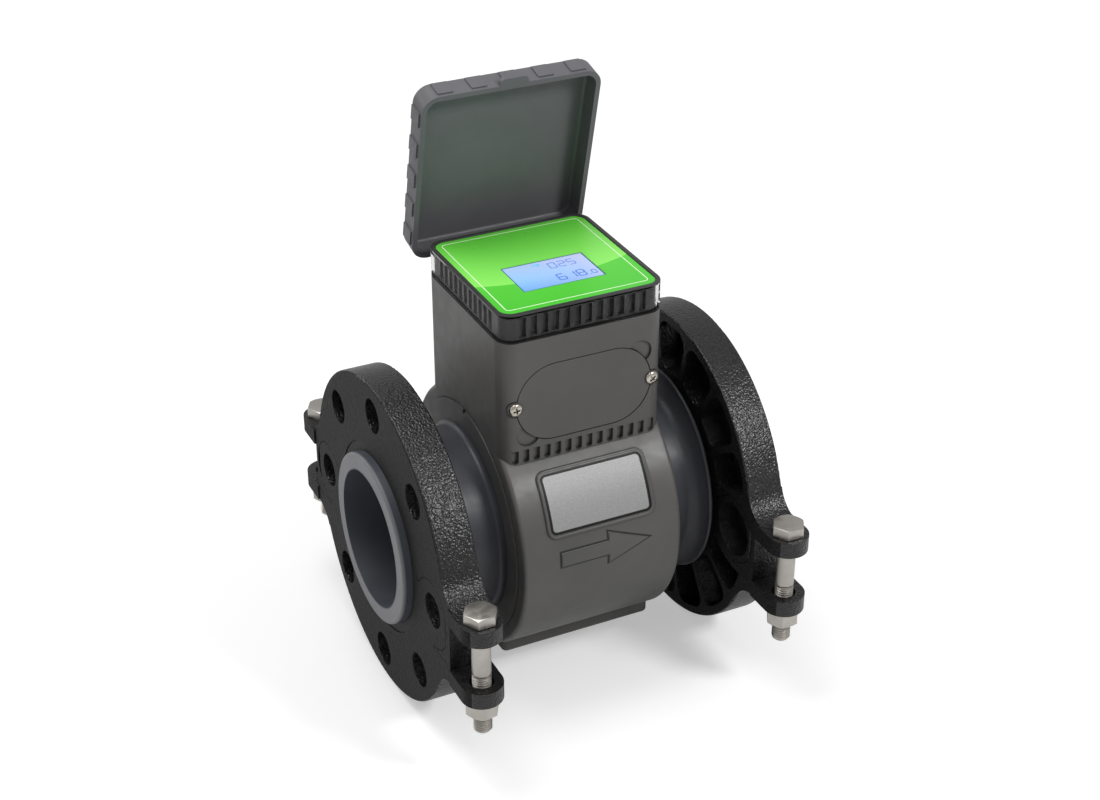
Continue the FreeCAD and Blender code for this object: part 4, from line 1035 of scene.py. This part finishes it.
def add_aimed(name, data, place, target):
    """Put a camera or a lamp in the scene, pointing at a target."""
    item = bpy.data.objects.new(name, data)
    bpy.context.scene.collection.objects.link(item)
    item.location = place
    item.rotation_mode = "QUATERNION"
    item.rotation_quaternion = (target - item.location).to_track_quat("-Z", "Y")
    return item


def add_camera():
    """The photograph's camera, as fitted to the meter's own outline."""
    data = bpy.data.cameras.new("camera")
    data.sensor_width = 36.0
    data.lens = data.sensor_width * FOCAL_PIXELS / PICTURE_WIDTH
    data.clip_start, data.clip_end = 0.05, 50
    bpy.context.scene.camera = add_aimed("camera", data, CAMERA_PLACE, CAMERA_TARGET)


def add_lamp(name, direction, distance, size, power):
    """A round white lamp, placed from the target by a direction and a distance in metres."""
    data = bpy.data.lights.new(name, "AREA")
    data.shape = "DISK"
    data.size = size
    data.energy = power
    add_aimed(name, data, LAMP_TARGET + Vector(direction).normalized() * distance, LAMP_TARGET)


def seen_directly(nodes, links):
    """1 for rays that carry a picture, a share of it for gloss, and 0 for soft light."""
    rays = nodes.new("ShaderNodeLightPath")
    found = rays.outputs["Is Camera Ray"]
    for name, share in (("Is Transmission Ray", 1.0), ("Is Glossy Ray", GLOSS_SHARE)):
        part = math_node(nodes, links, "MULTIPLY", rays.outputs[name], share)
        found = math_node(nodes, links, "MAXIMUM", found, part)
    return found


def add_floor(level):
    """A wide white floor that keeps the meter's shadow and fades into the backdrop."""
    mesh = bpy.data.meshes.new("floor")
    form = bmesh.new()
    bmesh.ops.create_grid(form, x_segments=8, y_segments=8, size=FLOOR_HALF)
    form.to_mesh(mesh)
    form.free()
    item = bpy.data.objects.new("floor", mesh)
    item.location.z = level
    bpy.context.scene.collection.objects.link(item)
    material = bpy.data.materials.new("white_floor")
    material.use_nodes = True
    nodes, links = material.node_tree.nodes, material.node_tree.links
    nodes.clear()
    output = nodes.new("ShaderNodeOutputMaterial")
    diffuse = nodes.new("ShaderNodeBsdfDiffuse")
    diffuse.inputs["Color"].default_value = FLOOR_TONE
    glow = nodes.new("ShaderNodeEmission")
    glow.inputs["Color"].default_value = WHITE
    distance = nodes.new("ShaderNodeVectorMath")
    distance.operation = "LENGTH"
    links.new(nodes.new("ShaderNodeTexCoord").outputs["Object"], distance.inputs["Vector"])
    paler = nodes.new("ShaderNodeMapRange")
    paler.interpolation_type = "SMOOTHSTEP"
    paler.inputs["From Min"].default_value = GLOW_FROM
    paler.inputs["From Max"].default_value = GLOW_TO
    paler.inputs["To Min"].default_value = GLOW_NEAR
    paler.inputs["To Max"].default_value = GLOW_FAR
    links.new(distance.outputs["Value"], paler.inputs["Value"])
    seen = math_node(nodes, links, "MULTIPLY", seen_directly(nodes, links), paler.outputs["Result"])
    links.new(seen, glow.inputs["Strength"])
    both = nodes.new("ShaderNodeAddShader")
    links.new(diffuse.outputs["BSDF"], both.inputs[0])
    links.new(glow.outputs["Emission"], both.inputs[1])
    links.new(both.outputs["Shader"], output.inputs["Surface"])
    mesh.materials.append(material)


def add_world():
    """White backdrop for the camera, a softer grey sky for the light."""
    world = bpy.data.worlds.new("studio")
    bpy.context.scene.world = world
    world.use_nodes = True
    nodes, links = world.node_tree.nodes, world.node_tree.links
    background = nodes["Background"]
    strength = nodes.new("ShaderNodeMapRange")
    strength.inputs["To Min"].default_value = SKY_SHARE
    strength.inputs["To Max"].default_value = 1.0
    links.new(seen_directly(nodes, links), strength.inputs["Value"])
    links.new(strength.outputs["Result"], background.inputs["Strength"])
    background.inputs["Color"].default_value = WHITE


add_camera()
add_world()
add_floor(cad_box[0].z - FLOOR_GAP)
# Lamps: direction, distance and size in metres, power in watts
add_lamp("key", (0.38, -0.66, 0.66), 1.7, 0.4, 14)
add_lamp("top", (-0.25, 0.15, 1.0), 1.5, 0.9, 11)
add_lamp("left_fill", (-1.0, 0.1, 0.6), 1.8, 0.9, 1.4)
add_lamp("rear_rim", (-0.5, 0.9, 0.4), 1.8, 0.7, 4)

bpy.context.scene.view_settings.view_transform = "Standard"
